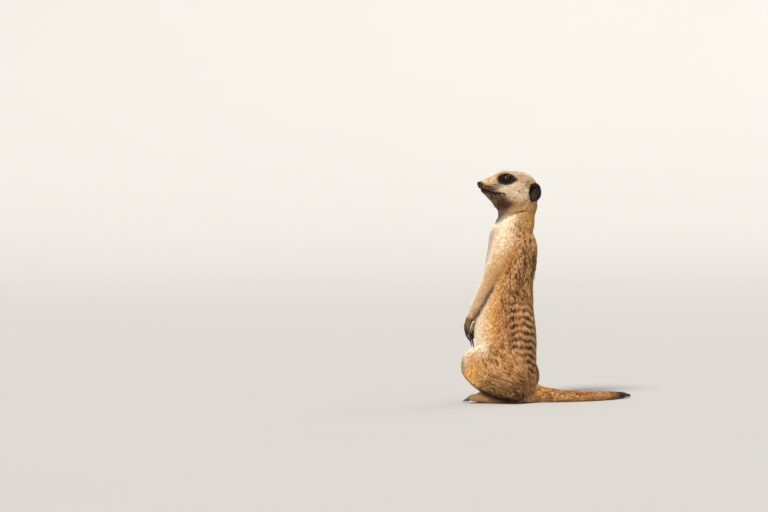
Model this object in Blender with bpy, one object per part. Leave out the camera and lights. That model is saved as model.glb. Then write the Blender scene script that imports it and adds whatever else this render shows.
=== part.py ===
"""A meerkat sitting upright on its rump, head turned a little to its left.

Metres, +Z up, the animal faces -Y and its left side is +X. Places in the tables are millimetres,
measured from the floor on the midline under the rump, and reach out to the tips of the coat. The
body is modelled whole from lofted forms, melted together, and parted into named pieces with thin
cuts. At the end it is moved so that the origin is under the middle of the whole footprint.
"""

import math

import bmesh
import bpy
from mathutils import Matrix, Vector

MM = 0.001
GAP = 0.3  # width of a parting cut, and of the clearance round an eye, ear or claw
VOXEL = 1.25  # grid on which the lofted forms are melted into one body
RING = 20  # points round each loft
STEPS = 4  # rings from one station of a loft to the next
BODY_FACES = 2300  # triangles of the whole body before it is parted
HEAD_FACES = 5600  # the same for the finer copy that the head is cut from

LEFT, RIGHT = 1, -1
SIDE_NAME = {LEFT: "left", RIGHT: "right"}

# The head: a skull centre on the neck, and how far the face is turned to the animal's left.
HEAD_AT = Vector((0.0, -2.5, 258.0))
HEAD_TURN = math.radians(22.0)
EYE_AT = (16.4, 13.4, 13.2)  # forward, sideways, up from the skull centre
EYE_RADIUS = 5.4
EAR_AT = (-16.5, 21.5, -3.2)
EAR_SIZE = (3.6, 8.2, 11.6)  # half thickness, half width, half height
NOSE_BACK = (42.6, 4.2)  # forward and up, where the bare nose pad begins
NOSE_SLOPE = (5.2, 6.8)  # its rear edge rises forward
MOUTH_TIP, MOUTH_CORNER = (49.0, 1.6), (17.0, -4.4)  # forward and up
NECK_CUT = ((0, 0, 229.5), (0, 0.06, -1))

# Limb joints. The right arm hangs a little lower than the left.
SHOULDER = {LEFT: (21.0, -12.0, 193.0), RIGHT: (-21.0, -12.0, 192.0)}
ELBOW = {LEFT: (26.5, -30.0, 152.0), RIGHT: (-26.5, -30.0, 149.0)}
WRIST = {LEFT: (19.0, -58.0, 104.0), RIGHT: (-17.0, -58.0, 95.0)}
FINGER_END = {LEFT: (14.5, -64.5, 83.5), RIGHT: (-12.5, -64.0, 74.5)}
HEEL = {LEFT: (27.5, 4.0, 6.0), RIGHT: (-27.5, 2.0, 6.0)}
TOE_ROOT = {LEFT: (31.0, -43.0, 5.8), RIGHT: (-29.0, -46.0, 5.8)}

TAIL_LENGTH = 178.0
TAIL_TIP_SHARE = 0.72  # where along the tail the black tip begins


def remove_everything():
    for obj in list(bpy.data.objects):
        bpy.data.objects.remove(obj)


# ---------------------------------------------------------------- small tools


def head_point(forward, side, up):
    """A place given from the skull centre, turned with the head."""
    local = Vector((side, -forward, up))
    return HEAD_AT + Matrix.Rotation(HEAD_TURN, 3, "Z") @ local


def head_direction(forward, side, up):
    return head_point(forward, side, up) - HEAD_AT


def smooth_between(values, place):
    """Catmull-Rom through a list of equal-length number tuples, at a fractional index."""
    last = len(values) - 1
    i = min(int(place), last - 1)
    t = place - i
    before, a, b, after = (values[max(0, min(last, k))] for k in (i - 1, i, i + 1, i + 2))
    return [
        0.5 * (2 * q + (r - p) * t + (2 * p - 5 * q + 4 * r - s) * t * t + (3 * q - p - 3 * r + s) * t**3)
        for p, q, r, s in zip(before, a, b, after)
    ]


def object_of(name, bm):
    mesh = bpy.data.meshes.new(name)
    bm.to_mesh(mesh)
    bm.free()
    obj = bpy.data.objects.new(name, mesh)
    bpy.context.scene.collection.objects.link(obj)
    return obj


def skin_rings(name, rings):
    """A closed shape over rings of points, with a fan at each end."""
    bm = bmesh.new()
    loops = [[bm.verts.new(Vector(p) * MM) for p in ring] for ring in rings]
    count = len(loops[0])
    for low, high in zip(loops, loops[1:]):
        for i in range(count):
            j = (i + 1) % count
            bm.faces.new((low[i], low[j], high[j], high[i]))
    for loop in (loops[0], loops[-1]):
        middle = bm.verts.new(sum((v.co for v in loop), Vector()) / count)
        for i in range(count):
            bm.faces.new((loop[i], loop[(i + 1) % count], middle))
    bmesh.ops.recalc_face_normals(bm, faces=bm.faces)
    return object_of(name, bm)


def limb(name, stations, sideways=(1, 0, 0), around=RING, steps=STEPS):
    """A tube through stations of (centre, half width, half depth), its width along `sideways`.

    A fourth number makes the depth uneven: it is the half depth on the far side.
    """
    rows = [(*s[0], s[1], s[2], s[3] if len(s) > 3 else s[2]) for s in stations]
    places = [k / steps for k in range((len(rows) - 1) * steps + 1)]
    line = [smooth_between(rows, place) for place in places]
    rings = []
    for k, (x, y, z, half_width, near, far) in enumerate(line):
        ahead, behind = line[min(k + 1, len(line) - 1)], line[max(k - 1, 0)]
        along = (Vector(ahead[:3]) - Vector(behind[:3])).normalized()
        across = Vector(sideways)
        across = (across - across.dot(along) * along).normalized()
        deep = along.cross(across)
        ring = []
        for i in range(around):
            turn = 2 * math.pi * i / around
            c, s = math.cos(turn), math.sin(turn)
            depth = near if s > 0 else far
            ring.append(Vector((x, y, z)) + across * (half_width * c) + deep * (depth * s))
        rings.append(ring)
    return skin_rings(name, rings)


def ball(name, centre, radii, turn=None, segments=24, rings=16):
    bm = bmesh.new()
    bmesh.ops.create_uvsphere(bm, u_segments=segments, v_segments=rings, radius=1.0)
    shape = Matrix.Diagonal((*[r * MM for r in radii], 1.0))
    place = Matrix.Translation(Vector(centre) * MM)
    bm.transform(place @ (turn.to_4x4() if turn else Matrix.Identity(4)) @ shape)
    return object_of(name, bm)


def baked(obj):
    """Replaces an object's mesh by what its modifiers make of it."""
    graph = bpy.context.evaluated_depsgraph_get()
    mesh = bpy.data.meshes.new_from_object(obj.evaluated_get(graph))
    obj.modifiers.clear()
    obj.data = mesh
    return obj


def boolean(obj, operation, *tools):
    for tool in tools:
        modifier = obj.modifiers.new(operation.lower(), "BOOLEAN")
        modifier.operation = operation
        modifier.object = tool
    baked(obj)
    for tool in tools:
        bpy.data.objects.remove(tool)
    return obj


def copy_of(obj, name):
    new = bpy.data.objects.new(name, obj.data.copy())
    bpy.context.scene.collection.objects.link(new)
    return new


def wedge(planes, grow=0.0):
    """The space inside all of these planes, each a point and the direction that leads out of it."""
    bm = bmesh.new()
    bmesh.ops.create_cube(bm, size=0.9)
    for point, out in planes:
        out = Vector(out).normalized()
        on_plane = (Vector(point) + out * grow) * MM
        geometry = bm.verts[:] + bm.edges[:] + bm.faces[:]
        cut = bmesh.ops.bisect_plane(
            bm, geom=geometry, dist=1e-7, plane_co=on_plane, plane_no=out, clear_outer=True
        )
        rim = [e for e in cut["geom_cut"] if isinstance(e, bmesh.types.BMEdge)]
        bmesh.ops.holes_fill(bm, edges=rim)
    bmesh.ops.recalc_face_normals(bm, faces=bm.faces)
    return object_of("wedge", bm)


def take(whole, name, cutter):
    """Cuts off the part of the body inside a cutter, with a thin gap all round it.

    The cutter is a function of how much to grow it by, and gives the object.
    """
    piece = boolean(copy_of(whole, name), "INTERSECT", cutter(0.0))
    boolean(whole, "DIFFERENCE", cutter(GAP))
    drop_crumbs(piece)
    drop_crumbs(whole)
    return piece


def drop_crumbs(obj):
    """Keeps the largest connected piece of a mesh, where a cut has left slivers beside it."""
    bm = bmesh.new()
    bm.from_mesh(obj.data)
    left, best = set(bm.verts), []
    while left:
        group, edge = [], [left.pop()]
        while edge:
            vertex = edge.pop()
            group.append(vertex)
            for link in vertex.link_edges:
                other = link.other_vert(vertex)
                if other in left:
                    left.remove(other)
                    edge.append(other)
        best = max(best, group, key=len)
    keep = set(best)
    bmesh.ops.delete(bm, geom=[vertex for vertex in bm.verts if vertex not in keep], context="VERTS")
    bm.to_mesh(obj.data)
    bm.free()


def planes(*sides):
    """A cutter made of planes, each a point and the direction that leads out of the space."""
    return lambda grow: wedge(sides, grow)


def sleeve(stations, slack, sideways=(1, 0, 0)):
    """A cutter that follows a limb at a little distance."""

    def made(grow):
        wider = []
        for place, *sizes in stations:
            wider.append((place, *[size + slack + grow for size in sizes]))
        first, second = Vector(wider[0][0]), Vector(wider[1][0])
        wider[0] = (first + (first - second).normalized() * grow, *wider[0][1:])
        last, other = Vector(wider[-1][0]), Vector(wider[-2][0])
        wider[-1] = (last + (last - other).normalized() * grow, *wider[-1][1:])
        return hull_of(limb("sleeve", wider, sideways, around=10, steps=1))

    return made


def hull_of(obj):
    """The convex shape round an object, in its place."""
    bm = bmesh.new()
    points = [bm.verts.new(vertex.co) for vertex in obj.data.vertices]
    bmesh.ops.convex_hull(bm, input=points)
    loose = [vertex for vertex in bm.verts if not vertex.link_faces]
    bmesh.ops.delete(bm, geom=loose, context="VERTS")
    bmesh.ops.recalc_face_normals(bm, faces=bm.faces)
    bm.to_mesh(obj.data)
    bm.free()
    return obj


# ---------------------------------------------------------------- the forms of the body


def trunk_form():
    """Rump, belly, chest and neck in one loft: centre, half width, half depth."""
    stations = (
        ((0, 3, -8), 14, 14),
        ((0, 2, 1), 24, 21),
        ((0, -2, 13), 30, 25),
        ((0, -7, 27), 34, 28.5),
        ((0, -12, 43), 36.5, 33.5),
        ((0, -17, 63), 37, 38),
        ((0, -18.5, 82), 35.5, 38.8),
        ((0, -18.5, 102), 33, 37),
        ((0, -16.8, 124), 30, 33),
        ((0, -15.2, 148), 28, 31),
        ((0, -11.5, 170), 27.5, 31.6),
        ((0, -9.6, 189), 27, 30.6),
        ((0, -9.5, 202), 25, 29.2),
        ((0, -8.0, 211), 21.5, 25.0),
        ((0, -5.0, 219), 19.2, 20.8),
        ((0, -2.6, 231), 19.8, 21.6),
        ((0, -0.5, 243), 21, 22.5),
    )
    return limb("trunk_form", stations, sideways=(-1, 0, 0), around=32)


def head_form():
    """The head from the back of the skull to the muzzle: forward, half width, top, bottom, widest."""
    profile = (
        (-25.0, 5.0, 3.0, -9.0, -3.0),
        (-21.5, 14.0, 10.0, -19.0, -4.0),
        (-14.0, 21.5, 17.8, -26.0, -5.0),
        (-5.0, 24.6, 22.0, -28.0, -5.5),
        (4.0, 25.0, 23.1, -28.0, -5.0),
        (12.0, 23.2, 23.0, -27.0, -3.0),
        (20.0, 19.8, 22.0, -26.0, -1.0),
        (26.0, 16.4, 20.2, -23.0, 0.5),
        (31.0, 13.4, 17.5, -17.4, 2.5),
        (37.0, 11.0, 14.8, -11.2, 4.5),
        (43.0, 8.8, 12.7, -5.2, 6.0),
        (47.2, 6.6, 10.8, -0.4, 6.2),
        (49.6, 3.2, 8.8, 3.0, 6.4),
    )
    places = [k / STEPS for k in range((len(profile) - 1) * STEPS + 1)]
    rings = []
    for forward, half_width, top, bottom, widest in (smooth_between(profile, p) for p in places):
        ring = []
        for i in range(32):
            turn = 2 * math.pi * i / 32
            c, s = math.cos(turn), math.sin(turn)
            height = (top - widest) * s if s > 0 else (widest - bottom) * s
            ring.append(head_point(forward, half_width * c, widest + height))
        rings.append(ring)
    return skin_rings("head_form", rings)


def face_forms():
    """Brow, cheek and whisker pad of each side: fuller places on the head."""
    spots = (
        ("brow", (18.5, 11.2, 15.8), (9.5, 6.6, 5.2)),
        ("cheek", (2.0, 17.0, -9.0), (13.0, 9.0, 12.5)),
        ("whisker_pad", (39.0, 5.4, 5.6), (7.5, 5.6, 5.2)),
    )
    turn = Matrix.Rotation(HEAD_TURN, 3, "Z")
    return [
        ball(name, head_point(place[0], place[1] * side, place[2]), (size[1], size[0], size[2]), turn)
        for name, place, size in spots
        for side in (LEFT, RIGHT)
    ]


def upper_arm_line(side):
    shoulder, elbow = Vector(SHOULDER[side]), Vector(ELBOW[side])
    return (
        (shoulder + Vector((-2 * side, 2, 10)), 7.5, 11),
        (shoulder, 11.0, 15.5),
        (shoulder.lerp(elbow, 0.55), 9.6, 13.0),
        (elbow, 8.6, 10.0),
        (elbow + Vector((0, 1.5, -7)), 5.2, 5.8),
    )


def forearm_line(side):
    elbow, wrist = Vector(ELBOW[side]), Vector(WRIST[side])
    return (
        (elbow.lerp(wrist, -0.08), 6.5, 7.4),
        (elbow.lerp(wrist, 0.1), 8.8, 9.4),
        (elbow.lerp(wrist, 0.5), 7.2, 7.8),
        (elbow.lerp(wrist, 0.85), 5.4, 5.8),
        (wrist, 5.0, 5.0),
        (wrist.lerp(Vector(FINGER_END[side]), 0.3), 5.0, 4.6),
    )


def arm_form(side):
    return [limb("upper_arm_form", upper_arm_line(side)), limb("forearm_form", forearm_line(side))]


def hand_axes(side):
    """The hanging hand: along its length, across the palm, and out of its back."""
    along = (Vector(FINGER_END[side]) - Vector(WRIST[side])).normalized()
    across = Vector((0.86, 0.5 * side, 0.0))
    across = (across - across.dot(along) * along).normalized()
    return along, across, along.cross(across)


FINGER_SPREAD = (-5.6, -1.9, 1.9, 5.6)
FINGER_REACH = (0.84, 1.0, 0.98, 0.82)  # the outer digits are shorter


def finger_line(side, digit):
    """Root, middle and tip of a finger, bent a little towards the palm."""
    along, across, back = hand_axes(side)
    wrist = Vector(WRIST[side])
    length = (Vector(FINGER_END[side]) - wrist).length * FINGER_REACH[digit]
    spread = across * FINGER_SPREAD[digit]
    return (
        wrist + along * length * 0.45 + spread * 0.72,
        wrist + along * length * 0.78 + spread + back * 1.0,
        wrist + along * length * 1.0 + spread * 1.08 - back * 0.8,
    )


def hand_form(side):
    along, across, back = hand_axes(side)
    wrist = Vector(WRIST[side])
    forms = [
        limb(
            "palm_form",
            (
                (wrist - along * 3, 4.6, 4.4),
                (wrist + along * 5, 5.4, 4.2),
                (wrist + along * 12, 6.8, 3.8),
                (wrist + along * 17, 6.0, 3.0),
            ),
            sideways=across,
        )
    ]
    for digit in range(4):
        root, middle, tip = finger_line(side, digit)
        forms.append(limb("finger_form", ((root, 2.1, 2.5), (middle, 2.0, 2.4), (tip, 1.5, 1.8)), across, 12))
    return forms


def haunch_line(side):
    """Thigh and folded shank are one furry mass, from the knee back to the rump."""
    x = side
    return (
        ((35.5 * x, -64.5, 51.0), 4.5, 5.0),
        ((36.0 * x, -61.5, 50.5), 9.0, 11.0),
        ((36.5 * x, -54.0, 49.0), 12.5, 18.5),
        ((37.0 * x, -43.0, 46.5), 14.5, 25.0),
        ((36.0 * x, -29.0, 42.5), 16.0, 29.5),
        ((33.5 * x, -14.0, 37.0), 16.5, 30.5),
        ((29.5 * x, -2.0, 29.5), 14.5, 24.0),
        ((25.0 * x, 5.5, 22.0), 10.5, 16.0),
        ((22.0 * x, 9.5, 17.0), 6.0, 8.5),
    )


def shank_line(side):
    """The folded shank fills the underside of the haunch and hides the heel."""
    x = side
    return (
        ((36.0 * x, -63.0, 45.0), 4.0, 4.5),
        ((37.0 * x, -56.0, 38.5), 9.0, 9.5),
        ((38.0 * x, -42.0, 30.0), 11.0, 13.0),
        ((38.0 * x, -26.0, 21.5), 11.0, 13.5),
        ((36.5 * x, -10.0, 15.0), 10.0, 12.5),
        ((33.0 * x, 3.0, 11.5), 8.0, 10.0),
        ((29.0 * x, 12.0, 10.0), 3.5, 5.0),
    )


def leg_form(side):
    return [
        limb("haunch_form", haunch_line(side), around=24),
        limb("shank_form", shank_line(side)),
    ]


TOE_SPREAD = (-7.6, -2.6, 2.5, 7.4)
TOE_LENGTH = (11.0, 14.5, 15.0, 11.5)


def foot_axes(side):
    along = Vector(TOE_ROOT[side]) - Vector(HEEL[side])
    along.z = 0
    along.normalize()
    return along, Vector((-along.y, along.x, 0))


def toe_line(side, digit):
    along, across = foot_axes(side)
    root = Vector(TOE_ROOT[side]) + across * TOE_SPREAD[digit] * 0.8
    out = (along + across * TOE_SPREAD[digit] * 0.022).normalized()
    middle = root + out * TOE_LENGTH[digit] * 0.55 + Vector((0, 0, 1.0))
    tip = root + out * TOE_LENGTH[digit] - Vector((0, 0, 0.9))
    return root, middle, tip


def sole_line(side):
    heel, toes = Vector(HEEL[side]), Vector(TOE_ROOT[side])
    along, across = foot_axes(side)
    return (
        (heel - along * 5.4, 1.6, 2.0),
        (heel - along * 4.0, 3.9, 4.6),
        (heel, 5.6, 6.4),
        (heel.lerp(toes, 0.3) + Vector((0, 0, 0.6)), 5.6, 7.0),
        (heel.lerp(toes, 0.7) + Vector((0, 0, 0.6)), 6.6, 6.8),
        (toes, 8.6, 5.8),
        (toes + along * 5, 7.4, 4.0),
    )


def foot_form(side):
    along, across = foot_axes(side)
    forms = [limb("sole_form", sole_line(side), sideways=across)]
    for digit in range(4):
        root, middle, tip = toe_line(side, digit)
        forms.append(limb("toe_form", ((root, 2.8, 4.6), (middle, 2.6, 4.9), (tip, 2.1, 3.2)), across, 12))
    return forms


def tail_line(share):
    """Where the tail runs, `share` of its length from the rump: back, and curving to the right."""
    place = Vector((0.0, 12.0, 0.0))
    pieces = 24
    for k in range(pieces):
        heading = math.radians(14.0 + 78.0 * share * (k + 0.5) / pieces)
        place += Vector((-math.sin(heading), math.cos(heading), 0)) * (TAIL_LENGTH * share / pieces)
    return place


def tail_form():
    """Thick where it leaves the rump, then tapering to the tip, resting on the floor."""
    sizes = ((-0.08, 12.5), (0.0, 12.0), (0.08, 9.8), (0.2, 7.9), (0.4, 6.9), (0.58, 6.0),
             (0.75, 4.8), (0.88, 3.5), (0.96, 2.4), (1.0, 1.2))
    stations = []
    for share, radius in sizes:
        place = tail_line(share)
        place.z = radius * 0.95 + 2.5 * max(0.0, 1 - share / 0.2)
        stations.append((place, radius, radius))
    return limb("tail_form", stations, around=16)


def whole_body():
    forms = [trunk_form(), head_form(), *face_forms(), tail_form()]
    for side in (LEFT, RIGHT):
        forms += arm_form(side) + hand_form(side) + leg_form(side) + foot_form(side)
    bm = bmesh.new()
    for form in forms:
        bm.from_mesh(form.data)
        bpy.data.objects.remove(form)
    body = object_of("body", bm)
    melt = body.modifiers.new("melt", "REMESH")
    melt.mode = "VOXEL"
    melt.voxel_size = VOXEL * MM
    return soften(baked(body))


def soften(body):
    """Eases the creases where forms meet, but leaves fingers, toes and muzzle as they are."""
    group = body.vertex_groups.new(name="soft")
    muzzle = head_point(36, 0, 6)
    for vertex in body.data.vertices:
        place = vertex.co / MM
        weight = min(1.0, max(0.12, (place - muzzle).length / 22 - 0.35))
        for side in (LEFT, RIGHT):
            hand = (place - Vector(FINGER_END[side])).length / 16 - 1.0
            weight = min(weight, max(0.1, hand))
        if place.z < 16 and place.y < 10:
            weight = min(weight, max(0.1, place.z / 10 - 0.6))
        group.add([vertex.index], weight, "REPLACE")
    ease = body.modifiers.new("ease", "SMOOTH")
    ease.factor = 0.5
    ease.iterations = 22
    ease.vertex_group = "soft"
    return baked(body)


def thinned(body, name, faces):
    """A copy of the body with about this many triangles."""
    copy = copy_of(body, name)
    fewer = copy.modifiers.new("fewer", "DECIMATE")
    fewer.ratio = faces / (2 * len(body.data.polygons))
    baked(copy)
    return copy


# ---------------------------------------------------------------- colours


def finish(name, colour, roughness):
    material = bpy.data.materials.new(name)
    material.use_nodes = True
    shader = material.node_tree.nodes["Principled BSDF"]
    shader.inputs["Base Color"].default_value = (*colour, 1.0)
    shader.inputs["Roughness"].default_value = roughness
    return material


def finishes():
    return {
        "pale_fur": finish("pale_fur", (0.66, 0.50, 0.33), 0.9),
        "tan_fur": finish("tan_fur", (0.46, 0.27, 0.12), 0.9),
        "rust_fur": finish("rust_fur", (0.36, 0.16, 0.06), 0.9),
        "dark_fur": finish("dark_fur", (0.035, 0.02, 0.014), 0.85),
        "nose_skin": finish("nose_skin", (0.02, 0.014, 0.012), 0.4),
        "eye": finish("eye", (0.012, 0.008, 0.006), 0.08),
        "claw": finish("claw", (0.05, 0.035, 0.025), 0.4),
    }


def dress(obj, material):
    obj.data.materials.clear()
    obj.data.materials.append(material)
    for polygon in obj.data.polygons:
        polygon.material_index = 0
    obj.data.shade_smooth()
    obj.data.set_sharp_from_angle(angle=math.radians(40))


# ---------------------------------------------------------------- parting the body


def part_head(body, looks):
    """Head, nose and lower jaw, with sockets for the eyes and ears."""
    head = boolean(copy_of(body, "head"), "INTERSECT", wedge([NECK_CUT]))
    up = Vector((0, 0, 1))
    nose = take(head, "nose", planes(
        (head_point(NOSE_BACK[0], 0, NOSE_BACK[1]), head_direction(-NOSE_SLOPE[1], 0, NOSE_SLOPE[0])),
        (head_point(NOSE_BACK[0], 0, NOSE_BACK[1]), -up),
    ))
    tip = head_point(MOUTH_TIP[0], 0, MOUTH_TIP[1])
    corner = head_point(MOUTH_CORNER[0], 0, MOUTH_CORNER[1])
    across = head_direction(0, 1, 0)
    jaw = take(head, "lower_jaw", planes(
        (corner, (tip - corner).cross(across)),
        (corner, head_direction(-1, 0, -0.35)),
    ))
    dress(nose, looks["nose_skin"])
    dress(jaw, looks["pale_fur"])
    for side in (LEFT, RIGHT):
        place = head_point(EYE_AT[0], EYE_AT[1] * side, EYE_AT[2])
        eye = ball(f"eye_{SIDE_NAME[side]}", place, [EYE_RADIUS] * 3, segments=12, rings=8)
        dress(eye, looks["eye"])
        boolean(head, "DIFFERENCE", ball("socket", place, [EYE_RADIUS + 1.5 * GAP] * 3, segments=12, rings=8))
        dress(ear_shape(side, 0.0), looks["dark_fur"])
        boolean(head, "DIFFERENCE", ear_shape(side, 1.5 * GAP))
    dress(head, looks["pale_fur"])
    return head


def ear_turn(side):
    """The ear faces out, a little forward, and leans back at its top."""
    lean = Matrix.Rotation(math.radians(-10.0), 3, "X")
    flare = Matrix.Rotation(math.radians(-16.0 * side), 3, "Z")
    return Matrix.Rotation(HEAD_TURN, 3, "Z") @ flare @ lean


def ear_shape(side, grow):
    """A rounded cup. The hollow is left out of the grown copy that makes its seat in the head."""
    place = head_point(EAR_AT[0], EAR_AT[1] * side, EAR_AT[2])
    size = [half + grow for half in EAR_SIZE]
    ear = ball(f"ear_{SIDE_NAME[side]}", place, size, ear_turn(side), 12, 8)
    if grow:
        return ear
    turn = ear_turn(side)
    hollow_at = place + turn @ Vector((3.4 * side, -1.2, -0.6))
    hollow = ball("hollow", hollow_at, (2.8, 5.2, 8.2), turn, 9, 6)
    return boolean(ear, "DIFFERENCE", hollow)


def part_neck(body):
    return take(body, "neck", planes(((0, 0, 207.5), (0, -0.08, -1))))


def part_arm(body, side):
    """Forepaw, forearm and upper arm, each cut out with a sleeve round it."""
    name = SIDE_NAME[side]
    elbow, wrist = Vector(ELBOW[side]), Vector(WRIST[side])
    along, across, back = hand_axes(side)
    paw = take(body, f"forepaw_{name}", sleeve((
        (wrist + along * 1.5, 7, 6),
        (wrist + along * 10, 9, 6.5),
        (wrist + along * 34, 12, 9),
    ), 1.0, across))
    lower = forearm_line(side)[1:5]
    start = elbow.lerp(wrist, 0.1)
    forearm = take(body, f"forearm_{name}", sleeve((
        (start, *lower[0][1:]),
        *lower[1:],
        (wrist + along * 6, 5.5, 5.5),
    ), 1.2))
    upper = take(body, f"upper_arm_{name}", sleeve(upper_arm_line(side), 1.4))
    return upper, forearm, paw


def part_leg(body, side):
    """Hind foot, then thigh and shank, parted along the fold between them."""
    name = SIDE_NAME[side]
    along, across = foot_axes(side)
    toes = Vector(TOE_ROOT[side])
    foot = take(body, f"hind_foot_{name}", sleeve((
        *sole_line(side)[:6],
        (toes + along * 8, 11.5, 7.5),
        (toes + along * 26, 13, 8),
    ), 1.0, across))
    thigh = take(body, f"thigh_{name}", sleeve((*haunch_line(side), *shank_line(side)), 1.6))
    fold = Vector((0, -0.42, -1.0))
    shank = take(thigh, f"shank_{name}", planes(((0, -66, 43), -fold)))
    return thigh, shank, foot


def part_tail(body, looks):
    root = tail_line(0.05)
    tail = take(body, "tail", planes(((0, root.y, 12), (0, -1, 0.35))))
    tip_at = tail_line(TAIL_TIP_SHARE)
    heading = (tail_line(TAIL_TIP_SHARE + 0.02) - tip_at).normalized()
    tip = take(tail, "tail_tip", planes((tip_at, -heading), ((0, tip_at.y - 8, 0), (0, -1, 0))))
    dress(tail, looks["rust_fur"])
    dress(tip, looks["dark_fur"])


# ---------------------------------------------------------------- claws


def claw(name, root, along, down, length, radius, grow=0.0):
    """A curved, pointed claw that starts inside the tip of its toe."""
    sizes = ((0.0, 1.0), (0.35, 0.9), (0.7, 0.5), (1.0, 0.12))
    stations = []
    for share, thick in sizes:
        place = root + along * length * share + down * length * 0.28 * share**2
        stations.append((place, radius * thick * 0.8 + grow, radius * thick + grow))
    return limb(name, stations, sideways=along.cross(down), around=5, steps=1)


def set_claws(paw, prefix, lines, length, radius, down, looks):
    """One claw for each digit, with a seat for it cut in the paw."""
    for number, (root, middle, tip) in enumerate(lines, 1):
        along = (tip - middle).normalized()
        below = (down - down.dot(along) * along).normalized()
        start = tip - along * 0.4
        made = claw(f"{prefix}_{number}", start, along, below, length, radius)
        boolean(paw, "DIFFERENCE", claw("seat", start - along * GAP, along, below, length, radius, GAP))
        dress(made, looks["claw"])


def centre_on_floor():
    """Moves everything so that the origin is under the middle of the whole part's footprint."""
    meshes = [obj.data for obj in bpy.data.objects]
    corners = [vertex.co for mesh in meshes for vertex in mesh.vertices]
    middle = [(min(c[axis] for c in corners) + max(c[axis] for c in corners)) / 2 for axis in (0, 1)]
    for mesh in meshes:
        mesh.transform(Matrix.Translation((-middle[0], -middle[1], 0)))
        mesh.update()


def rest_on_floor(body):
    """Flats at floor level under the rump, the feet and the tail."""
    return boolean(body, "INTERSECT", wedge([((0, 0, 0), (0, 0, -1))]))


def main():
    remove_everything()
    looks = finishes()
    whole = whole_body()
    fine = thinned(whole, "fine", HEAD_FACES)
    body = rest_on_floor(thinned(whole, "trunk", BODY_FACES))
    bpy.data.objects.remove(whole)
    part_head(fine, looks)
    bpy.data.objects.remove(fine)
    boolean(body, "DIFFERENCE", wedge([NECK_CUT], GAP))
    dress(part_neck(body), looks["pale_fur"])
    part_tail(body, looks)
    for side in (LEFT, RIGHT):
        name = SIDE_NAME[side]
        upper, forearm, forepaw = part_arm(body, side)
        thigh, shank, foot = part_leg(body, side)
        for piece in (upper, forearm, forepaw, thigh, shank, foot):
            dress(piece, looks["tan_fur"])
        along, across, back = hand_axes(side)
        fingers = [finger_line(side, digit) for digit in range(4)]
        toes = [toe_line(side, digit) for digit in range(4)]
        set_claws(forepaw, f"claw_front_{name}", fingers, 12.0, 1.5, -back, looks)
        set_claws(foot, f"claw_hind_{name}", toes, 7.0, 1.35, Vector((0, 0, -1)), looks)
        dress(forepaw, looks["tan_fur"])
        dress(foot, looks["pale_fur"])
    dress(body, looks["tan_fur"])
    centre_on_floor()


main()
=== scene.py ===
"""A life-size meerkat that sits upright, head up and turned a little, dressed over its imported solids.

One skin replaces every solid of flesh and lies inside them by the depth of the coat. The coat is solid mesh:
closed tapering tufts that follow the lie of the fur and part into locks. Eyes, nose, claws and whiskers are
pieces of their own.

Places are told in two frames, both in millimetres. The body's has its origin on the floor under the rump,
with Y to the back and Z up. The head's starts at the point that the head turns on, and its axes run forward,
to the left and up.
"""

import math
from types import SimpleNamespace

import bpy
import numpy as np
from mathutils import Matrix, Vector
from mathutils.bvhtree import BVHTree
from mathutils.kdtree import KDTree


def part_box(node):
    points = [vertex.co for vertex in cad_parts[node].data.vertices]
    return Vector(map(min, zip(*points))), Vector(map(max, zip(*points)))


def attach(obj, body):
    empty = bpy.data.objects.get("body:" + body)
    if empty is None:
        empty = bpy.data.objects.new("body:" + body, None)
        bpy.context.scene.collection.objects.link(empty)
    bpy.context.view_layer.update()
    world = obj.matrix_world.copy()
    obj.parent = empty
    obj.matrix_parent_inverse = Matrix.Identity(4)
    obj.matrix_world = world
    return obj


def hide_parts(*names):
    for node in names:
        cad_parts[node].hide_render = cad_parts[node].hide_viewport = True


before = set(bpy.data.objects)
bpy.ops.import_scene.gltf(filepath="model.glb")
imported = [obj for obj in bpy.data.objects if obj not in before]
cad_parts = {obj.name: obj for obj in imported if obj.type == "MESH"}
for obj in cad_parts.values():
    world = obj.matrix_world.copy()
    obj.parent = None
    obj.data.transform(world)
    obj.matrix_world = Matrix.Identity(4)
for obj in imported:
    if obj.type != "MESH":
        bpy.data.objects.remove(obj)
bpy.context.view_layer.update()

bl_info = {
    "name": "Sitting meerkat",
    "version": (1, 0, 0),
    "blender": (4, 5, 0),
    "location": "View3D > Sidebar > Meerkat",
    "description": "Dresses the packed solids of a meerkat with skin, coat, eyes, nose, claws and whiskers",
    "category": "Object",
}

MM = 0.001
SIDES = {"left": 1, "right": -1}
UP = Vector((0, 0, 1))
SEED = 20

# -------------------------------------------------------------------------------- landmarks

EYE_AHEAD, EYE_BESIDE, EYE_ABOVE = 16.4, 13.4, 13.2  # an eye's centre from the point the head turns on
HEAD_AT = Vector((0, -2.5, 258))  # that point in the body's frame
SHOULDER = {"left": (21, -12, 193), "right": (-21, -12, 192)}
ELBOW = {"left": (26.5, -30, 152), "right": (-26.5, -30, 149)}
WRIST = {"left": (19, -58, 104), "right": (-17, -58, 95)}
FINGERS = {"left": (14.5, -64.5, 83.5), "right": (-12.5, -64, 74.5)}
HEEL = {"left": (27.5, 4, 6), "right": (-27.5, 2, 6)}
TOES = {"left": (31, -43, 5.8), "right": (-29, -46, 5.8)}
TAIL_START, TAIL_LENGTH = (0, 12, 6), 178
TAIL_HEADING, TAIL_TURN = 14, 78  # degrees from straight back, and how much further it turns to the right
EAR_SPOT, EAR_SIZE = (-18.5, -3.6), (8.3, 11.4)  # forward and up, half width and half height
NOSE_TIP = (49.6, 0, 6.4)  # forward, left, up
MOUTH_LINE = ((49.5, 1.6), (46.4, 0.4), (39, -1.9), (31.7, -4.2), (22, -4.6), (17, -5.6))  # forward, up
JAW_FOLD = ((26, -41), (16, -33.6), (7, -30.5), (-5, -27.5), (-14, -26))
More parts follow.
